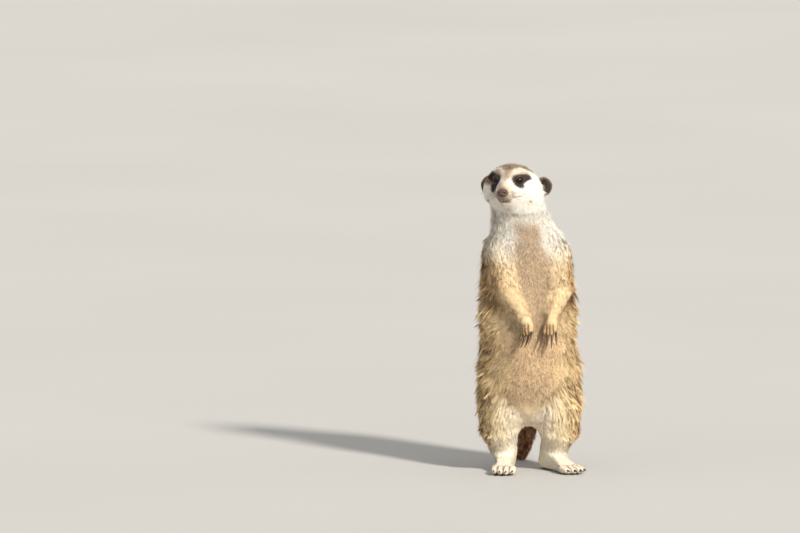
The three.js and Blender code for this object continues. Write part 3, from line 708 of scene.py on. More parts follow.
def trunk_markings(points):
    """Colour and share of dark-tipped hair on the neck and the trunk."""
    height = points[:, 2]
    angle = np.degrees(trunk_angle(points))
    turn = np.abs(angle + 4)
    wave = 5 * np.sin(height * 0.11) + 3 * np.sin(height * 0.27 + angle * 0.05)
    colour = np.broadcast_to(tint(CREAM, SAND, 0.4), points.shape).copy()
    grizzle = np.full(len(points), 0.2)

    bib = step(196, 226, height)
    colour = tint(colour, WHITE, bib)
    reach = 24 + 14 * step(238, 200, height)
    chest = step(reach + 10 + wave, reach - 10 + wave, turn) * step(250, 236, height) * step(118, 150, height)
    colour = tint(colour, BARE_CHEST, 0.9 * chest)
    grizzle = mix(grizzle, 0.3, chest)
    belly = step(46 + wave, 20 + wave, turn) * step(146, 122, height) * step(60, 76, height)
    colour = tint(colour, tint(BARE_BELLY, BARE_CHEST, 0.6 * step(100, 80, height)), 0.85 * belly)
    wisps = np.sin(points @ (0.42, 0.1, 0.16)) * np.sin(points @ (-0.23, 0.2, 0.31) + 1)
    colour = tint(colour, CREAM, 0.5 * belly * step(0.2, 0.7, wisps))
    grizzle = mix(grizzle, 0.35, belly)
    # Pale fur low between the legs, whitened and warmed: partly its own colour and partly painted light
    # bounced up from the ground.
    low = step(40, 15, turn) * step(72, 58, height)
    colour = tint(colour, tint(WARM_BOUNCE_CREAM, WHITE, 0.35), 0.9 * low)
    grizzle = mix(grizzle, 0.02, low)

    start = 54 + 50 * step(196, 240, height)
    flank = step(start - 16, start + 22, turn + wave)
    colour = streaked(tint(colour, tint(TAWNY, SAND, 0.1), flank), points, flank)
    grizzle = mix(grizzle, 0.95, flank)
    back = step(108, 140, turn)
    colour = tint(colour, BACK_GREY, 0.9 * back)
    grizzle = mix(grizzle, 0.6, back)
    rows = 0.5 + 0.5 * np.cos((height + 2 * np.sin(np.radians(angle) * 3)) * 2 * np.pi / BAND_STEP)
    bands = step(0.4, 0.7, rows) * step(104, 122, turn)
    bands *= step(BAND_LOW - 6, BAND_LOW + 6, height) * step(BAND_HIGH + 6, BAND_HIGH - 8, height)
    colour = tint(colour, DARK, 0.95 * bands)
    grizzle = mix(grizzle, 0.25, bands)
    return colour, grizzle


LEG_HEIGHTS = (8, 20, 34, 50, 75)
LEG_HAIR = (2.1, 4.4, 7.2, 9.4, 12.0)
LEG_GAP = middle("shank_right")[0] + size_of("shank_right")[0] / 2


def outside_leg(points, normals):
    """1 on the outer and back faces of a leg, 0 on its inner face."""
    return step(-0.1, 0.6, normals[:, 0] * np.sign(points[:, 0] - LEG_GAP) + 0.35 * normals[:, 1])


def leg_markings(points, normals):
    """Grizzled outside, cream inside, and nearly white feet."""
    outside = outside_leg(points, normals)
    inside = step(34, 14, np.abs(points[:, 0] - LEG_GAP)) * (1 - outside)
    # Inside the leg: pale fur, warmed partly by painted light bounced up from the ground.
    colour = tint(tint(CREAM, tint(WARM_BOUNCE_CREAM, WHITE, 0.55), inside), tint(TAWNY, SAND, 0.5), outside)
    colour = streaked(colour, points, 0.25 + 0.75 * outside)
    grizzle = 0.05 + 0.8 * outside
    foot = step(44, 18, points[:, 2])
    return tint(colour, tint(WHITE, CREAM, 0.3), foot), grizzle * (1 - 0.85 * foot)


def tail_markings(points, normals):
    """Tawny above and darker below, with a black-brown tip. The darker underside is partly the tail's own
    red-brown and partly painted shade.
    """
    # Downward-facing hair is darker: partly the tail's own colour and partly painted shade.
    below = step(0.45, -0.4, normals[:, 2])
    colour = tint(tint(TAWNY, BROWN, 0.4), tint(RED_BROWN, DARK, 0.25), below)
    start = points_of(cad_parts["tail_tip"].data)[:, 1].min()
    tip = step(start - 6, start + 14, points[:, 1])
    rump = step(50, 76, points[:, 2])
    colour = tint(colour, tint(BACK_GREY, TAWNY, 0.4), 0.85 * rump)
    return tint(colour, tint(BLACK, DARK, 0.3), 0.95 * tip), 0.6 * (1 - tip)


AXIS_FOOT = (middle("foot_left")[0] + middle("foot_right")[0]) / 2


def markings(points, normals, labels):
    """Colour and share of dark-tipped hair all over, from place alone."""
    colour, grizzle = trunk_markings(points)
    kinds = np.array([kind_of(name) for name in FLESH])[labels]
    arm = kinds == "upper_arm"
    outside = step(-0.1, 0.75, normals[:, 0] * np.sign(points[:, 0] - AXIS_FOOT) + 0.2 * normals[:, 1])
    outside = (outside * step(222, 196, points[:, 2]) * 0.8)[arm]
    shoulder = step(192, 214, points[:, 2])[arm]
    limb = tint(tint(ARM_CREAM, WHITE, 0.25 * shoulder), tint(TAWNY, SAND, 0.5), outside)
    colour[arm] = tint(limb, colour[arm], 0.75 * step(202, 222, points[arm, 2]))
    grizzle[arm] = 0.33 + 0.4 * outside
    pale = np.isin(kinds, ("forearm", "hand"))
    fingers = step(152, 140, points[:, 2])[pale]
    colour[pale] = tint(ARM_CREAM, tint(SAND, BROWN, 0.5), 0.75 * fingers)
    grizzle[pale] = 0.08 + 0.3 * fingers
    for kind in ("thigh", "shank", "foot"):
        chosen = kinds == kind
        colour[chosen], grizzle[chosen] = leg_markings(points[chosen], normals[chosen])
    tail = np.char.startswith(kinds, "tail")
    colour[tail], grizzle[tail] = tail_markings(points[tail], normals[tail])
    head = kinds == "head"
    head |= (kinds == "neck") & (in_head(points)[:, 2] > -14)
    colour[head], grizzle[head] = head_markings(in_head(points[head]))
    ear = kinds == "ear"
    colour[ear], grizzle[ear] = ear_markings(in_head(points[ear]))
    return colour, grizzle


# ---------------------------------------------------------------- the lie of the coat

def limb_ways():
    """The way the hair runs on each solid of a limb or the tail, towards its end."""
    ways = {}
    for side in SIDES:
        upper, lower, hand = (middle(f"{name}_{side}") for name in ("upper_arm", "forearm", "hand"))
        claws = np.mean([middle(f"front_claw_{side}_{n}") for n in range(1, 5)], axis=0)
        toes = np.mean([middle(f"hind_claw_{side}_{n}") for n in range(1, 5)], axis=0)
        ways[f"upper_arm_{side}"] = lower - upper
        ways[f"forearm_{side}"] = hand - lower
        ways[f"hand_{side}"] = claws - hand
        ways[f"thigh_{side}"] = np.array((SIDES[side] * 0.22, 0.18, -1.0))
        ways[f"shank_{side}"] = np.array((0.0, 0.12, -1.0))
        ways[f"foot_{side}"] = (toes - middle(f"shank_{side}")) * (1, 1, 0.7)
    base, centre, tip = (middle(f"tail_{name}") for name in ("base", "middle", "tip"))
    ways["tail_base"] = centre - base
    ways["tail_middle"] = tip - base
    ways["tail_tip"] = tip - centre
    return {name: unit(way) for name, way in ways.items()}


def lie_of_coat(points, normals, labels, edges):
    """A direction along the skin for every vertex, smooth from one part of the body to the next."""
    angle = trunk_angle(points)
    radial = np.concatenate([unit(from_axis(points)), np.zeros((len(points), 1))], 1)
    round_body = np.cross(UP, radial) * np.sign(angle)[:, None]
    fan = 0.85 * np.sin(np.clip(np.abs(angle), 0, np.pi)) * step(245, 200, points[:, 2])
    way = unit(-UP + round_body * fan[:, None])
    for name, limb in limb_ways().items():
        way[labels == FLESH.index(name)] = limb
    places = in_head(points)
    on_head = labels == FLESH.index("head")
    away = unit(places - NOSE_TIP - (0, 3, 0))
    away[:, 2] -= 0.55 * step(2, 30, places[:, 1])
    way[on_head] = (unit(away) @ HEAD_AXES)[on_head]
    way = relax(way, edges, 0.7, 16)
    for side in SIDES:
        _, _, out, up = ear_frame(side)
        across, high, _ = on_ear(places, side)
        spread = across[:, None] * out + (high + 3)[:, None] * up
        own = labels == FLESH.index(f"ear_{side}")
        way[own] = (unit(spread) @ HEAD_AXES)[own]
    way -= normals * np.sum(way * normals, axis=1, keepdims=True)
    return unit(way)


def bend_along(points, normals, way, edges):
    """How fast the skin falls away from its tangent along the hair, in 1/mm."""
    a, b = edges.T
    gap, turn = points[b] - points[a], normals[b] - normals[a]
    fall, run = np.zeros(len(points)), np.full(len(points), 1e-9)
    for end in (a, b):
        ahead = np.sum(gap * way[end], axis=1)
        fall += np.bincount(end, ahead * np.sum(turn * way[end], axis=1), len(points))
        run += np.bincount(end, ahead * ahead, len(points))
    return np.clip(relax(fall / run, edges, 0.7, 8), -0.05, 0.12)


# ---------------------------------------------------------------- the skin as the coat's ground

class Ground:
    """The skin's triangles with everything that the coat needs to know at each vertex."""

    def __init__(self, mesh, labels):
        self.points = points_of(mesh)
        self.normals = normals_of(mesh)
        self.edges = edges_of(mesh)
        self.labels = labels
        mesh.calc_loop_triangles()
        self.triangles = read(mesh.loop_triangles, "vertices", 3, np.int32)
        a, b, c = (self.points[self.triangles[:, k]] for k in range(3))
        self.areas = np.linalg.norm(np.cross(b - a, c - a), axis=1) / 2
        self.places = in_head(self.points)
        self.tree = tree_of(self.points)
        self.colour, self.grizzle = markings(self.points, self.normals, labels)
        self.way = lie_of_coat(self.points, self.normals, labels, self.edges)
        self.bend = bend_along(self.points, self.normals, self.way, self.edges)
        self.fields = {key: spread_kinds(labels, self.edges, key, 22)
                       for key in ("length", "width", "lift", "dense")}
        self.kinds = np.array([kind_of(name) for name in FLESH])[labels]
        self.shape_head()
        self.shape_trunk()
        self.shape_back()
        self.shape_legs()
        self.shape_ears()
        self.shape_digits()
        self.soften_markings()

    def softened(self, values, where, times=8):
        """Values kept only where they apply, then blurred over the skin."""
        return relax(np.where(where, values, 0.0), self.edges, 0.7, times)

    def soften_markings(self):
        soft = 0.6 * (~np.isin(self.kinds, ("head", "ear")))
        self.colour = relax(self.colour, self.edges, soft, 6)
        self.grizzle = relax(self.grizzle, self.edges, soft, 6)

    def shape_head(self):
        """Hair gets shorter towards the nose and the eyes, and stops at lids, lips and nose."""
        places = self.places
        head = self.kinds == "head"
        back = places[:, 1]
        length = 1.7 + 2.6 * step(-14, 24, back) + 2.4 * step(8, 22, back) * step(0, -14, places[:, 2])
        from_nose = np.linalg.norm((places - NOSE) * (1.0, 1.0, 1.5), axis=1)
        length *= 0.45 + 0.55 * step(4, 16, from_nose)
        ahead, out, up = nearest_eye(places)
        opening = lid_opening(out, up) + step(1.5, -1.0, ahead) * 9
        length *= 0.35 + 0.65 * step(1.2, 5, opening)
        self.fields["length"][head] = length[head]
        length += 1.6 * step(4, 10, places[:, 2]) * step(-2, 6, back)
        self.fields["width"][head] = 0.14 + 0.045 * length[head]
        self.fields["lift"][head] = (0.20 + 0.16 * step(4, 24, back) + 0.14 * step(6, 12, places[:, 2]))[head]
        bare = step(1.75, 1.35, opening) + step(6.2, 5.0, from_nose)
        lips = hill(places[:, 2] - mouth_height(back), 0.7) * step(2, -2, back)
        self.bare = np.where(head, np.clip(bare + lips * step(16, 13, np.abs(places[:, 0])), 0, 1), 0)
        self.fields["dense"] *= 1 - self.bare
        self.fields["dense"][head] *= (1.0 + 1.3 * step(6, 2.5, length))[head]

    def shape_trunk(self):
        """Shorter, thinner hair on the chest and belly than on the flanks."""
        turn = np.degrees(np.abs(trunk_angle(self.points)))
        torso = np.isin(self.kinds, ("trunk", "neck"))
        front = self.softened(step(66, 28, turn), torso, 10)
        ledge = self.softened(step(0.25, 0.6, self.normals[:, 2]), torso, 10)
        self.fields["length"] *= (1 - 0.66 * front) * (1 - 0.25 * ledge)
        self.fields["width"] *= 1 - 0.46 * front
        self.fields["dense"] *= 1 + 0.8 * front
        self.fields["lift"] *= (1 + 0.25 * front) * (1 - 0.3 * ledge)

    def shape_back(self):
        """Shorter hair down the back, where the bands show."""
        back = step(100, 124, np.degrees(np.abs(trunk_angle(self.points))))
        back = self.softened(back, self.kinds == "trunk")
        self.fields["length"] *= 1 - 0.4 * back
        self.fields["dense"] *= 1 + 0.2 * back

    def shape_legs(self):
        """Hair that shortens down the leg, stays fuller outside it and is short in the crotch."""
        height = self.points[:, 2]
        leg = np.isin(self.kinds, ("thigh", "shank"))
        near_gap = step(24, 9, np.abs(self.points[:, 0] - LEG_GAP)) * step(84, 62, height)
        outer = self.softened(outside_leg(self.points, self.normals), leg)
        inner = self.softened(near_gap, leg | (self.kinds == "trunk"))
        down = np.interp(height, LEG_HEIGHTS, LEG_HAIR) * (0.8 + 0.2 * outer)
        length = np.where(leg, down, self.fields["length"]) * (1 - 0.6 * inner)
        self.fields["length"] = relax(length, self.edges, 0.7 * (leg | (self.kinds == "foot")), 8)
        self.fields["width"] *= 1 - 0.3 * inner
        self.fields["dense"] *= 1 + 0.5 * inner

    def shape_ears(self):
        """Short hair on the ears' backs and rims, and hardly any in their bowls."""
        ear = self.kinds == "ear"
        inside = np.zeros(len(self.points))
        for side in SIDES:
            facing, share = ear_frame(side)[1], on_ear(self.places, side)[2]
            own = self.labels == FLESH.index(f"ear_{side}")
            opening = step(0.0, 0.5, self.normals @ HEAD_AXES.T @ facing) * step(0.95, 0.8, share)
            inside = np.where(own, opening, inside)
        self.bare = np.where(ear, inside, self.bare)
        self.fields["dense"][ear] *= (1 - 0.85 * inside)[ear]
        self.fields["length"][ear] *= (1 - 0.35 * inside)[ear]

    def shape_digits(self):
        """Nearly hairless clefts between the digits, darkened partly as the skin that shows there and partly
        as painted shade, and bare soles.
        """
        gaps = digit_gaps(self.points)
        # The clefts' darkening is partly the bared skin and partly painted shade between the digits.
        self.colour = tint(self.colour, tint(DARK, BROWN, 0.3), 0.8 * gaps)
        sole = step(3.0, 1.2, self.points[:, 2]) * step(-0.3, -0.7, self.normals[:, 2])
        sole *= np.isin(self.kinds, ("foot", "shank"))
        self.bare = np.maximum(self.bare, sole)
        self.fields["dense"] *= (1 - 0.85 * gaps) * (1 - sole)

    def roots(self, chosen, count, rng):
        """Random roots on the chosen triangles: a triangle and three shares for each."""
        weight = self.areas * self.fields["dense"][self.triangles].mean(1) * chosen
        sums = np.cumsum(weight)
        picked = np.searchsorted(sums, rng.random(count) * sums[-1])
        u, v = np.sqrt(rng.random(count)), rng.random(count)
        return picked, np.stack([1 - u, u * (1 - v), u * v], 1)

    def settled(self, tips, rise):
        """The move that lays each tip near the skin, no higher than its rise and never under it."""
        near = nearest(self.tree, tips)
        normal = self.normals[near]
        above = np.sum((tips - self.points[near]) * normal, axis=1)
        return normal * (np.clip(above, 0.3 * rise, 1.6 * rise + 0.5) - above)[:, None]

    def wanted(self, chosen):
        return float((self.areas * self.fields["dense"][self.triangles].mean(1) * chosen).sum())

    def at(self, values, picked, shares):
        corners = values[self.triangles[picked]]
        if corners.ndim == 2:
            return (corners * shares).sum(1)
        return (corners * shares[..., None]).sum(1)


# ---------------------------------------------------------------- unwraps of the skin's shape

def round_head(points):
    side, back, up = (in_head(points) - (0, 12, -6)).T
    return np.stack([np.arctan2(side, -back), np.arctan2(up, np.hypot(side, back))], 1)


def round_trunk(points):
    return np.stack([trunk_angle(points), points[:, 2] / 60], 1)


def along_joints(points, joints):
    """Round and along a bent limb: the angle about its nearest length, and the way along it."""
    best = np.full(len(points), np.inf)
    result = np.zeros((len(points), 2))
    start = 0.0
    for a, b in zip(joints[:-1], joints[1:]):
        way = unit(b - a)
        length = np.linalg.norm(b - a)
        t = np.clip((points - a) @ way, 0, length)
        offset = points - a - t[:, None] * way
        gap = np.linalg.norm(offset, axis=1)
        across = unit(np.cross(way, (0.3, 1, 0.2)))
        other = np.cross(way, across)
        angle = np.arctan2(offset @ other, offset @ across)
        nearer = gap < best
        best[nearer] = gap[nearer]
        result[nearer] = np.stack([angle, (start + t) / 30], 1)[nearer]
        start += length
    return result


def round_limb(*names):
    joints = [middle(name) for name in names]
    return lambda points: along_joints(points, joints)


def round_ears(points):
    """Each ear's disc laid flat, side by side."""
    places = in_head(points)
    flat = []
    for side in SIDES:
        across, high, _ = on_ear(places, side)
        flat.append(np.stack([across + SIDES[side] * 12, high], 1))
    return np.where(places[:, :1] > 0, flat[0], flat[1])


def fitted(places):
    """An unwrap scaled to fill the square from 0 to 1, with a small margin."""
    low, high = places.min(0), places.max(0)
    return MAP_LOW + MAP_WIDE * (places - low) / np.maximum(high - low, 1e-6)


# ---------------------------------------------------------------- tufts

FLOOR_GAP = 0.25                 # how far above the floor the lowest hair ends
PROUD = 9.0                      # how far past the box of the solids a stray hair may reach
LOWEST = np.array(cad_box[0]) / MM - (PROUD, PROUD, -FLOOR_GAP)
HIGHEST = np.array(cad_box[1]) / MM + PROUD
PATCH = 0.003                    # how wide each tuft's patch of the bake's map is
MAP_LOW, MAP_WIDE = 0.004, 0.989    # where the unwraps lie on the bake's map
MOST_TRIANGLES = 172000          # in one coat piece
SAG = 0.22                       # the share of its rise that a tuft loses towards its tip
LONG_HAIR = 13                   # from this length on, tufts differ most in tone and in facing
ROOT_DEPTH = 0.25                # how far under the skin a tuft starts
STATIONS = {3: ((0.0, 0.8), (0.5, 0.85), (1.0, 0.0)),
            5: ((0.0, 0.7), (0.34, 1.0), (0.72, 0.62), (1.0, 0.0))}


def triangle_mesh(name, points, triangles):
    mesh = bpy.data.meshes.new(name)
    mesh.vertices.add(len(points))
    mesh.loops.add(triangles.size)
    mesh.polygons.add(len(triangles))
    mesh.loops.foreach_set("vertex_index", triangles.ravel().astype(np.int32))
    mesh.polygons.foreach_set("loop_start", np.arange(0, triangles.size, 3, dtype=np.int32))
    shade_smooth(mesh)
    set_points(mesh, points)
    return mesh


def grow(name, ground, chosen, unwrap, rng, faces=3, spread=0.2, clump=0.5, per_lock=14, stray=0.05):
    """A coat piece: blades of so many faces, rooted on the chosen triangles of the skin.

    The tufts' directions vary by spread. About per_lock of them make a lock, whose tips are drawn
    together by the share clump. Stray is the share of thin hairs that stand out from their lock.
    """
    count = int(min(ground.wanted(chosen) * COAT_SHARE, MOST_TRIANGLES // faces))
    picked, shares = ground.roots(chosen, count, rng)
    root = ground.at(ground.points, picked, shares)
    normal = unit(ground.at(ground.normals, picked, shares))
    way = ground.at(ground.way, picked, shares)
    length, width, lift = (ground.at(ground.fields[key], picked, shares)
                           for key in ("length", "width", "lift"))
    colour = ground.at(ground.colour, picked, shares)
    grizzle = ground.at(ground.grizzle, picked, shares)
    bend = ground.at(ground.bend, picked, shares)

    leaders = rng.choice(count, max(count // per_lock, 1), replace=False)
    lock = nearest(tree_of(root[leaders]), root)
    shared = {key: rng.normal(size=len(leaders))[lock] for key in ("turn", "lift", "length", "tone")}
    swirl = np.sin(root @ (0.11, 0.07, 0.16)) + np.sin(root @ (-0.19, 0.13, 0.08) + 2)
    turn = spread * (0.8 * rng.normal(size=count) + 0.9 * shared["turn"] + 0.6 * swirl)
    across = unit(np.cross(way, normal))
    along = unit(way * np.cos(turn)[:, None] + across * np.sin(turn)[:, None])
    along = unit(along - normal * np.sum(along * normal, axis=1, keepdims=True))
    across = np.cross(along, normal)
    length = length * np.clip(1 + 0.15 * rng.normal(size=count) + 0.12 * shared["length"], 0.5, 1.35)
    lift = lift * np.clip(1 + 0.25 * rng.normal(size=count) + 0.2 * shared["lift"], 0.1, 2.2)
    width = width * rng.uniform(0.7, 1.25, count)
    wild = rng.random(count) < stray
    length[wild] *= 1.12
    lift[wild] *= 1.5
    width[wild] *= 0.5
    bend = np.minimum(bend, 1.0 / length)

    def within(move, share):
        """A move cut short to a share of the hair's length."""
        size = np.linalg.norm(move, axis=1)
        return move * np.minimum(1, share * length / np.maximum(size, 1e-6))[:, None]

    def spine_at(t):
        run = length * t
        rise = run * (lift - SAG * lift * t) - bend * run * run / 2 - ROOT_DEPTH * (t == 0)
        return root + along * run[:, None] + normal * rise[:, None]

    settle = within(ground.settled(spine_at(1.0), length * lift * (1 - SAG)), 0.6)
    tip = spine_at(1.0) + settle
    pull = clump * within(tip[leaders][lock] - tip, 0.5)
    pull[wild] *= 0.1
    roll = rng.uniform(-0.9, 0.9, count)
    blade = across * np.cos(roll)[:, None] + normal * np.sin(roll)[:, None]

    rows, spots, ways = [], [], []
    corner = fitted(unwrap(root)) * (1 - PATCH) + PATCH / 2
    for t, share in STATIONS[faces]:
        spine = spine_at(t) + settle * t ** 1.8 + pull * t ** 1.6
        half = blade * (width * share / 2)[:, None]
        ends = (spine,) if share == 0 else (spine - half, spine + half)
        for n, end in enumerate(ends):
            rows.append(end)
            ways.append(np.full(count, t))
            sideways = 0 if share == 0 else (n * 2 - 1) * PATCH / 2
            spots.append(corner + (sideways, (t - 0.5) * PATCH))
    each = len(rows)
    points = np.stack(rows, 1).reshape(-1, 3)
    points = np.clip(points, LOWEST, HIGHEST)
    pattern = [(0, 1, 3), (0, 3, 2)] + ([(2, 3, 5), (2, 5, 4)] if faces == 5 else [])
    pattern.append((each - 3, each - 2, each - 1))
    triangles = (np.arange(count)[:, None, None] * each + np.array(pattern)).reshape(-1, 3)

    mesh = triangle_mesh(name, points, triangles)

    def each_vertex(values):
        return np.repeat(values, each, axis=0)

    bold = np.clip(length / LONG_HAIR, 0.15, 1) * shared["tone"]
    tone = np.clip(1 + (0.02 + 0.24 * grizzle) * bold + 0.05 * rng.normal(size=count), 0.5, 1.4)
    dark = (rng.random(count) < grizzle * (0.50 - 0.5 * bold)).astype(float)
    dark *= rng.uniform(0.6, 1.0, count)
    bright = rng.random(count) < grizzle * (0.28 + 0.3 * bold) * (dark == 0)
    colour = tint(colour, PALE_TIP, 0.6 * bright)
    put_attribute(mesh, "Coat", each_vertex(np.clip(colour * tone[:, None], 0, 1)))
    put_attribute(mesh, "Dark", each_vertex(dark))
    put_attribute(mesh, "Under", each_vertex(np.clip(grizzle, 0, 1)))
    put_attribute(mesh, "Along", np.stack(ways, 1).ravel())
    layer = mesh.uv_layers.new(name="OFBake")
    spots = np.stack(spots, 1).reshape(-1, 2)[triangles.ravel()]
    layer.data.foreach_set("uv", spots.astype(np.float32).ravel())
    uneven = np.clip(length / LONG_HAIR, 0.2, 1)[:, None]
    facing = unit(normal + 0.3 * uneven * rng.normal(size=(len(leaders), 3))[lock]
                  + 0.1 * rng.normal(size=(count, 3)))
    mesh.normals_split_custom_set_from_vertices(each_vertex(facing))
    mesh.materials.append(COAT_MATERIAL)
    obj = add_object(name, mesh)
    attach(obj, "root")
    return obj


# ---------------------------------------------------------------- materials

class Surface:
    """A material being made: its Principled shader, and short ways to add and join nodes."""

    def __init__(self, name, **constants):
        self.material = bpy.data.materials.new(name)
        self.material.use_nodes = True
        self.tree = self.material.node_tree
        self.shader = self.tree.nodes["Principled BSDF"]
        for key, value in constants.items():
            self.shader.inputs[key.replace("_", " ")].default_value = value

    def add(self, kind, *inputs, **settings):
        """A node with its settings, and each input either a value or another node's output."""
        node = self.tree.nodes.new("ShaderNode" + kind)
        for key, value in settings.items():
            setattr(node, key, value)
        for index, value in enumerate(inputs):
            if value is None:
                continue
            if isinstance(value, bpy.types.NodeSocket):
                self.tree.links.new(value, node.inputs[index])
            else:
                node.inputs[index].default_value = value
        return node

    def attribute(self, name):
        node = self.add("Attribute", attribute_name=name)
        return node.outputs["Color" if name == "Coat" else "Fac"]

    def ramp(self, value, *stops):
        """A smooth ramp through (place, grey or colour) stops."""
        node = self.add("ValToRGB", value)
        elements = node.color_ramp.elements
        while len(elements) < len(stops):
            elements.new(0.5)
        for element, (place, colour) in zip(elements, stops):
            element.position = place
            element.color = (*colour, 1) if np.ndim(colour) else (colour,) * 3 + (1,)
        return node.outputs[0]

    def math(self, operation, *inputs):
        return self.add("Math", *inputs, operation=operation).outputs[0]

    def blend(self, share, a, b, how="MIX"):
        """Colour a turned into colour b by a share, which may be a number or a node's output."""
        node = self.add("Mix", data_type="RGBA", blend_type=how)
        for name, value in (("Factor_Float", share), ("A_Color", a), ("B_Color", b)):
            socket = next(s for s in node.inputs if s.identifier == name)
            if isinstance(value, bpy.types.NodeSocket):
                self.tree.links.new(value, socket)
            else:
                socket.default_value = value if name == "Factor_Float" else (*value, 1)
        return next(s for s in node.outputs if s.identifier == "Result_Color")

    def times(self, a, b):
        return self.blend(1.0, a, b, "MULTIPLY")

    def noise(self, scale, detail=3.0, vector=None):
        """Fractal noise. The scale is in lumps for each metre."""
        node = self.add("TexNoise", vector if vector else self.place())
        node.inputs["Scale"].default_value = scale
        node.inputs["Detail"].default_value = detail
        return node.outputs[0]

    def place(self):
        return self.add("TexCoord").outputs["Object"]

    def stretched(self, *scale):
        """The place on the object, scaled along each axis."""
        node = self.add("Mapping", self.place())
        node.inputs["Scale"].default_value = scale
        return node.outputs[0]

    def colour(self, value):
        self.tree.links.new(value, self.shader.inputs["Base Color"])

    def roughness(self, value):
        self.tree.links.new(value, self.shader.inputs["Roughness"])

    def bump(self, height, strength, distance):
        node = self.add("Bump")
        node.inputs["Strength"].default_value = strength
        node.inputs["Distance"].default_value = distance * MM
        self.tree.links.new(height, node.inputs["Height"])
        self.tree.links.new(node.outputs[0], self.shader.inputs["Normal"])


DARK_HAIR = linear(58, 35, 18)
PALE_HAIR = linear(250, 228, 190)


def coat_material():
    """Hair: darker at the root, pale in the middle, and dark-tipped where the coat is grizzled. The darker
    root is painted shade on pale hair and the real dark undercoat on grizzled hair.
    """
    surface = Surface("coat", Sheen_Weight=0.05, Sheen_Roughness=0.5, IOR=1.33)
    along = surface.attribute("Along")
    # On pale hair the darker root is painted shade deep in the coat; on grizzled hair the deep ramp is the
    # real dark undercoat.
    pale = surface.ramp(along, (0, (0.80, 0.75, 0.69)), (0.3, (0.97, 0.95, 0.92)), (0.6, 1.0))
    deep = surface.ramp(along, (0, (0.13, 0.08, 0.05)), (0.32, (0.28, 0.20, 0.13)), (0.66, 1.0))
    shade = surface.blend(surface.attribute("Under"), pale, deep)
    colour = surface.times(surface.attribute("Coat"), shade)
    tips = surface.ramp(along, (0.24, 0.0), (0.42, 1.0), (0.72, 1.0), (0.92, 0.15))
    dark = surface.math("MULTIPLY", tips, surface.attribute("Dark"))
    colour = surface.blend(dark, colour, DARK_HAIR)
    end = surface.ramp(along, (0.6, 0.0), (1.0, 0.42))
    ends = surface.math("MULTIPLY", end, surface.attribute("Under"))
    colour = surface.blend(ends, colour, PALE_HAIR)
    mottle = surface.ramp(surface.noise(420, 2), (0.3, 0.86), (0.7, 1.0))
    surface.colour(surface.times(colour, mottle))
    surface.roughness(surface.ramp(along, (0, 0.85), (1, 0.6)))
    return surface.material


def skin_material():
    """Skin under the coat, with short flat hair as bump, and bare dark lids, lips and ears."""
    surface = Surface("skin", Sheen_Weight=0.08, Sheen_Roughness=0.5, IOR=1.4)
    fine = surface.noise(2600, 3)
    strands = surface.noise(1500, 2, surface.stretched(3, 3, 0.7))
    # The skin under the coat takes the coat's colour, darkened in lengthwise strands: partly the short hair's
    # own tone and partly painted shade under the coat.
    colour = surface.times(surface.attribute("Coat"), surface.ramp(strands, (0.3, 0.66), (0.7, 1.0)))
    bare = surface.attribute("Bare")
    flesh = surface.ramp(fine, (0.3, 0.6 * BLACK), (0.75, 1.5 * BLACK))
    surface.colour(surface.blend(bare, colour, flesh))
    surface.roughness(surface.ramp(bare, (0, 0.8), (1, 0.42)))
    height = surface.blend(bare, strands, fine)
    surface.bump(height, 0.5, 0.35)
    return surface.material


def eye_material():
    """A dark brown iris round a wide black pupil, in the eye's own axes, with the gaze along Z."""
    surface = Surface("eyes", Roughness=0.05, IOR=1.28)
    split = surface.add("SeparateXYZ", surface.place())
    x, y, z = split.outputs

    def reach(wide, high):
        across = surface.math("DIVIDE", x, wide * MM)
        upright = surface.math("DIVIDE", y, high * MM)
        squares = [surface.math("MULTIPLY", v, v) for v in (across, upright)]
        return surface.math("SQRT", surface.math("ADD", *squares))

    angle = surface.math("ARCTAN2", y, x)
    turn = [surface.math(how, angle) for how in ("SINE", "COSINE")]
    rays = surface.add("CombineXYZ", *turn, reach(30, 30))
    iris = surface.ramp(surface.noise(9, 4, rays.outputs[0]), (0.3, linear(20, 11, 7)),
                        (0.5, linear(40, 22, 12)), (0.75, linear(66, 40, 21)))
    limbus = surface.ramp(reach(3.7, 3.7), (0.72, 0.0), (1.0, 1.0))
    colour = surface.blend(limbus, iris, linear(16, 9, 6))
    pupil = surface.ramp(reach(2.2, 1.45), (0.86, 1.0), (1.05, 0.0))
    surface.colour(surface.blend(pupil, colour, linear(5, 4, 4)))
    return surface.material


def nose_material():
    """Pebbled, slightly moist, black-brown leather."""
    surface = Surface("nose", IOR=1.42, Coat_Weight=0.15, Coat_Roughness=0.25)
    cells = surface.add("TexVoronoi", surface.place())
    cells.inputs["Scale"].default_value = 1900
    distance = cells.outputs["Distance"]
    tone = surface.ramp(surface.noise(500, 3), (0.3, linear(54, 41, 34)), (0.75, linear(112, 88, 74)))
    # Darker where the pebbles meet: painted shade in the folds of the leather.
    crease_shade = surface.ramp(distance, (0.0, 1.0), (0.9, 0.62))
    surface.colour(surface.times(tone, crease_shade))
    surface.roughness(surface.ramp(distance, (0.1, 0.32), (0.8, 0.58)))
    surface.bump(surface.math("SUBTRACT", 1.0, distance), 0.5, 0.16)
    return surface.material


def claw_material():
    """Dark horn, paler and worn at the tip, with fine lengthwise grain."""
    surface = Surface("horn", IOR=1.5)
    along = surface.attribute("Along")
    lines = surface.noise(900, 4, surface.stretched(4, 4, 0.6))
    tone = surface.ramp(along, (0, linear(58, 36, 22)), (0.55, linear(104, 70, 44)),
                        (1, linear(168, 132, 96)))
    surface.colour(surface.times(tone, surface.ramp(lines, (0.3, 0.62), (0.7, 1.0))))
    surface.roughness(surface.ramp(lines, (0.3, 0.5), (0.7, 0.3)))
    surface.bump(lines, 0.25, 0.12)
    return surface.material


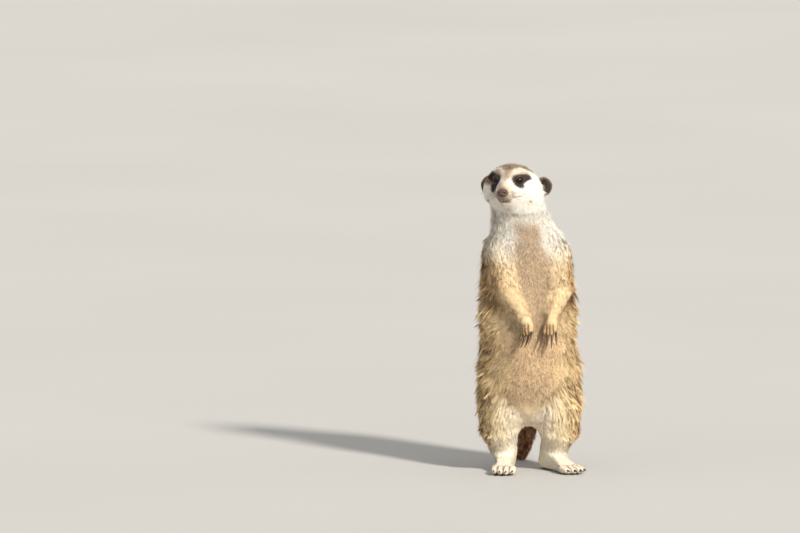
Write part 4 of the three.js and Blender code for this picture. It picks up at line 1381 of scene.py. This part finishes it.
def whisker_material():
    """Stiff dark hair that thins to a paler tip."""
    surface = Surface("whisker", IOR=1.5)
    along = surface.attribute("Along")
    surface.colour(surface.ramp(along, (0, linear(26, 18, 14)), (1, linear(96, 72, 52))))
    surface.roughness(surface.ramp(along, (0, 0.35), (1, 0.5)))
    return surface.material


def floor_material():
    surface = Surface("floor", Roughness=0.8)
    patches = surface.noise(1.5, 2)
    surface.colour(surface.ramp(patches, (0.2, (0.42, 0.415, 0.405)), (0.8, (0.45, 0.445, 0.435))))
    return surface.material


# ---------------------------------------------------------------- eyes, nose, claws and whiskers

BALL_RINGS, BALL_SPOKES = 40, 56


def eyeball_mesh(name):
    """A ball whose front, at +Z, bulges. Its points and faces come in the same order each run."""
    tilt = np.repeat(np.linspace(0, np.pi, BALL_RINGS + 1)[1:-1], BALL_SPOKES)
    turn = np.tile(np.linspace(0, 2 * np.pi, BALL_SPOKES, endpoint=False), BALL_RINGS - 1)
    tilt, turn = np.array((0, *tilt, np.pi)), np.array((0, *turn, 0))
    reach = EYE_RADIUS * (1 + 0.055 * hill(tilt, math.radians(34)))
    flat = reach * np.sin(tilt)
    points = np.stack([flat * np.cos(turn), flat * np.sin(turn), reach * np.cos(tilt)], 1)
    last = len(points) - 1
    faces = []
    for s in range(BALL_SPOKES):
        n = (s + 1) % BALL_SPOKES
        faces.append((0, 1 + s, 1 + n))
        for high in range(1, last - BALL_SPOKES, BALL_SPOKES):
            low = high + BALL_SPOKES
            faces.append((high + s, low + s, low + n, high + n))
        faces.append((last, last - BALL_SPOKES + n, last - BALL_SPOKES + s))
    mesh = bpy.data.meshes.new(name)
    mesh.from_pydata((points * MM).tolist(), [], faces)
    shade_smooth(mesh)
    return mesh


def eyeball(side, material):
    """The ball in its place, with its front along the gaze."""
    mesh = eyeball_mesh(f"eyeball_{side}")
    mesh.materials.append(material)
    obj = add_object(f"eyeball_{side}", mesh)
    gaze, out, up = (axis @ HEAD_AXES for axis in eye_axes(side))
    across = np.cross(up, gaze)
    place = Matrix.Identity(4)
    for column, axis in enumerate((across, up, gaze)):
        place.col[column][:3] = axis
    place.translation = Vector(EYES[side] * MM)
    obj.matrix_world = place
    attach(obj, "root")
    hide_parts(f"eye_{side}")
    return obj


def rebuilt(name, node, voxel, smoothing):
    """A finer, rounder copy of a small solid."""
    obj = add_object(name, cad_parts[node].data.copy())
    obj.data.name = name
    voxel_remesh(obj, voxel)
    mesh = obj.data
    low, high = points_of(mesh).min(0), points_of(mesh).max(0)
    points = relax(points_of(mesh), edges_of(mesh), 0.6, smoothing)
    shrunk_low, shrunk_high = points.min(0), points.max(0)
    points = (points - shrunk_low) / (shrunk_high - shrunk_low) * (high - low) + low
    set_points(mesh, points)
    shade_smooth(mesh)
    mesh.materials.clear()
    return obj


def nose_pad(material):
    """The nose: two comma-shaped nostrils and the groove between them."""
    obj = rebuilt("nose_pad", "nose", 0.28, 6)
    mesh = obj.data
    points, normals = points_of(mesh), normals_of(mesh)
    side, back, up = (in_head(points) - NOSE).T
    wide, long, high = size_of("nose") / 2
    front = step(0.1, -0.5, back / long)
    hole = hill(np.hypot((np.abs(side) - 0.50 * wide) / 1.25, (up + 0.05 * high) / 1.0), 1.0)
    slit = hill(np.hypot((np.abs(side) - 0.78 * wide) / 1.5, (up + 0.32 * high) / 0.55), 1.0)
    groove = hill(side, 0.42) * step(0.75 * high, 0.2 * high, up)
    wing = hill(np.hypot(np.abs(side) - 0.5 * wide, up - 0.45 * high), 1.3)
    lift = 0.25 * wing - (1.5 * hole + 1.0 * slit + 0.55 * groove)
    set_points(mesh, points + normals * (lift * front)[:, None])
    mesh.materials.append(material)
    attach(obj, "root")
    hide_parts("nose")
    return obj


def horn_claw(node, material):
    name = "horn_" + node.replace("_claw", "")
    obj = rebuilt(name, node, 0.3, 5)
    root, far, aim = claw_line(node)
    points = points_of(obj.data)
    along = np.linalg.norm(points - root, axis=1) / np.linalg.norm(far - root)
    put_attribute(obj.data, "Along", np.clip(along, 0, 1))
    obj.data.materials.append(material)
    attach(obj, "root")
    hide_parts(node)
    return obj


OUTSIDE = 60    # far enough from the middle of the head to be outside it


def whisker_rows():
    """Every whisker and every long hair of the brows and cheeks, in the head's frame.

    Each row has a place outside the head that the root is sought from, the hair's direction and
    its length. The brows' roots are sought from the front, and all others from the side.
    """
    rows = []
    for sign in SIDES.values():
        for row, (height, count) in enumerate(((-8.6, 4), (-10.6, 5), (-12.4, 4))):
            for n in range(count):
                back = -24.5 + 2.7 * n + 0.7 * row
                aim = (sign * (0.9 - 0.05 * n), 0.25 + 0.13 * n, -0.12 - 0.16 * row)
                rows.append(((sign * OUTSIDE, back, height), aim, 10 + 3.4 * n))
        for n in range(3):
            start = (sign * (9.5 + 1.3 * n), -OUTSIDE, 12)
            rows.append((start, (sign * 0.45, -0.15, 0.75), 9 + 1.5 * n))
        for n in range(2):
            rows.append(((sign * OUTSIDE, 7 + 3 * n, -12), (sign * 0.8, 0.3, -0.4), 8.0))
    return rows


def whiskers(skin, material, rng):
    """Thin tapered tubes that bend under their own weight, each rooted where it meets the skin."""
    tree = BVHTree.FromPolygons([v.co for v in skin.data.vertices],
                                [p.vertices[:] for p in skin.data.polygons])
    bm = bmesh.new()
    layer = bm.verts.layers.float.new("Along")
    stations, sides = 9, 5
    for start, aim, length in whisker_rows():
        inwards = HEAD_BACK if start[2] > 0 else -np.sign(start[0]) * HEAD_LEFT
        place, normal, _, _ = tree.ray_cast(Vector(from_head(start) * MM), Vector(inwards))
        if place is None:
            continue
        root = np.array(place) / MM - np.array(normal) * 0.5
        way = unit(np.array(aim) + 0.07 * rng.normal(size=3)) @ HEAD_AXES
        length *= rng.uniform(0.85, 1.1)
        across = unit(np.cross(way, UP))
        other = np.cross(way, across)
        rings = []
        for t in np.linspace(0, 1, stations):
            centre = root + way * length * t + (HEAD_BACK * 0.16 - UP * 0.13) * length * t * t
            radius = 0.115 * (1 - 0.86 * t)
            ring = []
            for k in range(sides):
                turn = 2 * math.pi * k / sides
                spot = centre + (across * math.cos(turn) + other * math.sin(turn)) * radius
                vertex = bm.verts.new(Vector(spot * MM))
                vertex[layer] = t
                ring.append(vertex)
            rings.append(ring)
        for low, high in zip(rings[:-1], rings[1:]):
            for k in range(sides):
                n = (k + 1) % sides
                bm.faces.new((low[k], low[n], high[n], high[k]))
        bm.faces.new(rings[0][::-1])
        bm.faces.new(rings[-1])
    bmesh.ops.recalc_face_normals(bm, faces=bm.faces)
    mesh = mesh_from(bm, "whiskers")
    shade_smooth(mesh)
    mesh.materials.append(material)
    obj = add_object("whiskers", mesh)
    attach(obj, "root")
    return obj


# ---------------------------------------------------------------- the animal

def labelled_skin():
    """The finished skin and the index in FLESH of the solid that each vertex stands for."""
    skin = make_skin()
    refine_face(skin)
    labels = nearest_node(points_of(skin.data))
    add_ears(skin.data)
    each = (len(skin.data.vertices) - len(labels)) // len(SIDES)
    ears = [np.full(each, FLESH.index(f"ear_{side}")) for side in SIDES]
    return skin, np.concatenate([labels, *ears])


skin, labels = labelled_skin()
shade_smooth(skin.data)
ground = Ground(skin.data, labels)
put_attribute(skin.data, "Coat", ground.colour)
put_attribute(skin.data, "Bare", ground.bare)
skin.data.materials.append(skin_material())
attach(skin, "root")
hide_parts(*FLESH)

COAT_MATERIAL = coat_material()
owner = np.array(FLESH)[labels][ground.triangles[:, 0]]
turn = np.degrees(trunk_angle(ground.points[ground.triangles].mean(1)))
FRONT_HALF = 58     # degrees from the middle of the chest to where the flanks' long hair starts


def of_nodes(*names):
    return np.isin(owner, names)


def coat_plan():
    """Every coat piece: its slot, its triangles of the skin, its unwrap and how its tufts differ."""
    trunk = of_nodes("trunk")
    tail = ("tail_base", "tail_middle", "tail_tip")
    plan = [
        ("head", "fur_face", of_nodes("head"), round_head, dict(spread=0.13, clump=0.2, per_lock=7)),
        ("neck", "fur_face", of_nodes("neck"), round_trunk, dict(spread=0.22, clump=0.35, per_lock=10)),
        ("chest", "fur_body", trunk & (np.abs(turn) < FRONT_HALF), round_trunk,
         dict(spread=0.26, clump=0.25, per_lock=8)),
        ("ears", "fur_dark", of_nodes("ear_left", "ear_right"), round_ears, dict(clump=0.2)),
        ("tail", "fur_body", of_nodes(*tail[:2]), round_limb(*tail), dict(spread=0.15)),
        ("tail_tip", "fur_dark", of_nodes(tail[2]), round_limb(*tail[1:]), dict(spread=0.12))]
    for side, sign in SIDES.items():
        flank = trunk & (np.abs(turn) >= FRONT_HALF) & (turn * sign > 0)
        arm = [f"upper_arm_{side}", f"forearm_{side}", f"hand_{side}"]
        leg = [f"thigh_{side}", f"shank_{side}", f"foot_{side}"]
        plan += [
            (f"flank_{side}", "fur_body", flank, round_trunk,
             dict(spread=0.2, clump=0.85, per_lock=18, stray=0.09)),
            (arm[0], "fur_body", of_nodes(arm[0]), round_limb(*arm[:2]),
             dict(faces=5, clump=0.35, per_lock=8)),
            (arm[1], "fur_pale", of_nodes(*arm[1:]), round_limb(*arm), dict()),
            (leg[0], "fur_body", of_nodes(*leg[:2]), round_limb(*leg[:2]),
             dict(spread=0.18, clump=0.8, per_lock=18, stray=0.08)),
            (leg[2], "fur_pale", of_nodes(leg[2]), round_limb(*leg[1:]), dict(clump=0.3))]
    return plan


for number, (part, slot, chosen, unwrap, options) in enumerate(coat_plan()):
    piece = grow(f"coat_{part}", ground, chosen, unwrap, rng=np.random.default_rng(SEED + number), **options)

eye_look, horn = eye_material(), claw_material()
for side in SIDES:
    eyeball(side, eye_look)
nose_pad(nose_material())
for node in CLAWS:
    horn_claw(node, horn)
whiskers(skin, whisker_material(), np.random.default_rng(SEED + 100))


# ---------------------------------------------------------------- floor, lights and camera

# The aim, the distance and half the floor's side are in metres.
VIEW_AIM = Vector((-0.1267, -0.0627, 0.1984))
VIEW_DISTANCE = 8.578
VIEW_RISE = math.radians(6)      # the camera stands in front and looks down by this much
FLOOR_HALF = 60
SUN_FROM = Vector((0.57, -0.76, 0.62))    # the direction that the light comes from

lens = bpy.data.cameras.new("camera")
lens.lens = 400
lens.sensor_width = 36
lens.clip_end = 200
camera = add_object("camera", lens)
toward = Vector((0, -math.cos(VIEW_RISE), math.sin(VIEW_RISE)))
camera.location = VIEW_AIM + toward * VIEW_DISTANCE
camera.rotation_euler = toward.to_track_quat("Z", "Y").to_euler()
bpy.context.scene.camera = camera

mesh = bpy.data.meshes.new("floor")
corners = [(x * FLOOR_HALF, y * FLOOR_HALF, 0) for x, y in ((-1, -1), (1, -1), (1, 1), (-1, 1))]
mesh.from_pydata(corners, [], [(0, 1, 2, 3)])
mesh.materials.append(floor_material())
floor = add_object("floor", mesh)
sun = bpy.data.lights.new("key", "SUN")
sun.energy = 5.2
sun.color = (1.0, 0.955, 0.88)
sun.angle = math.radians(7)
key = add_object("key", sun)
key.rotation_euler = SUN_FROM.to_track_quat("Z", "Y").to_euler()
world = bpy.data.worlds.new("studio")
bpy.context.scene.world = world
world.use_nodes = True
sky = world.node_tree.nodes["Background"]
sky.inputs[0].default_value = (1.0, 0.98, 0.945, 1)
sky.inputs[1].default_value = 0.7
bpy.context.scene.view_settings.view_transform = "Standard"
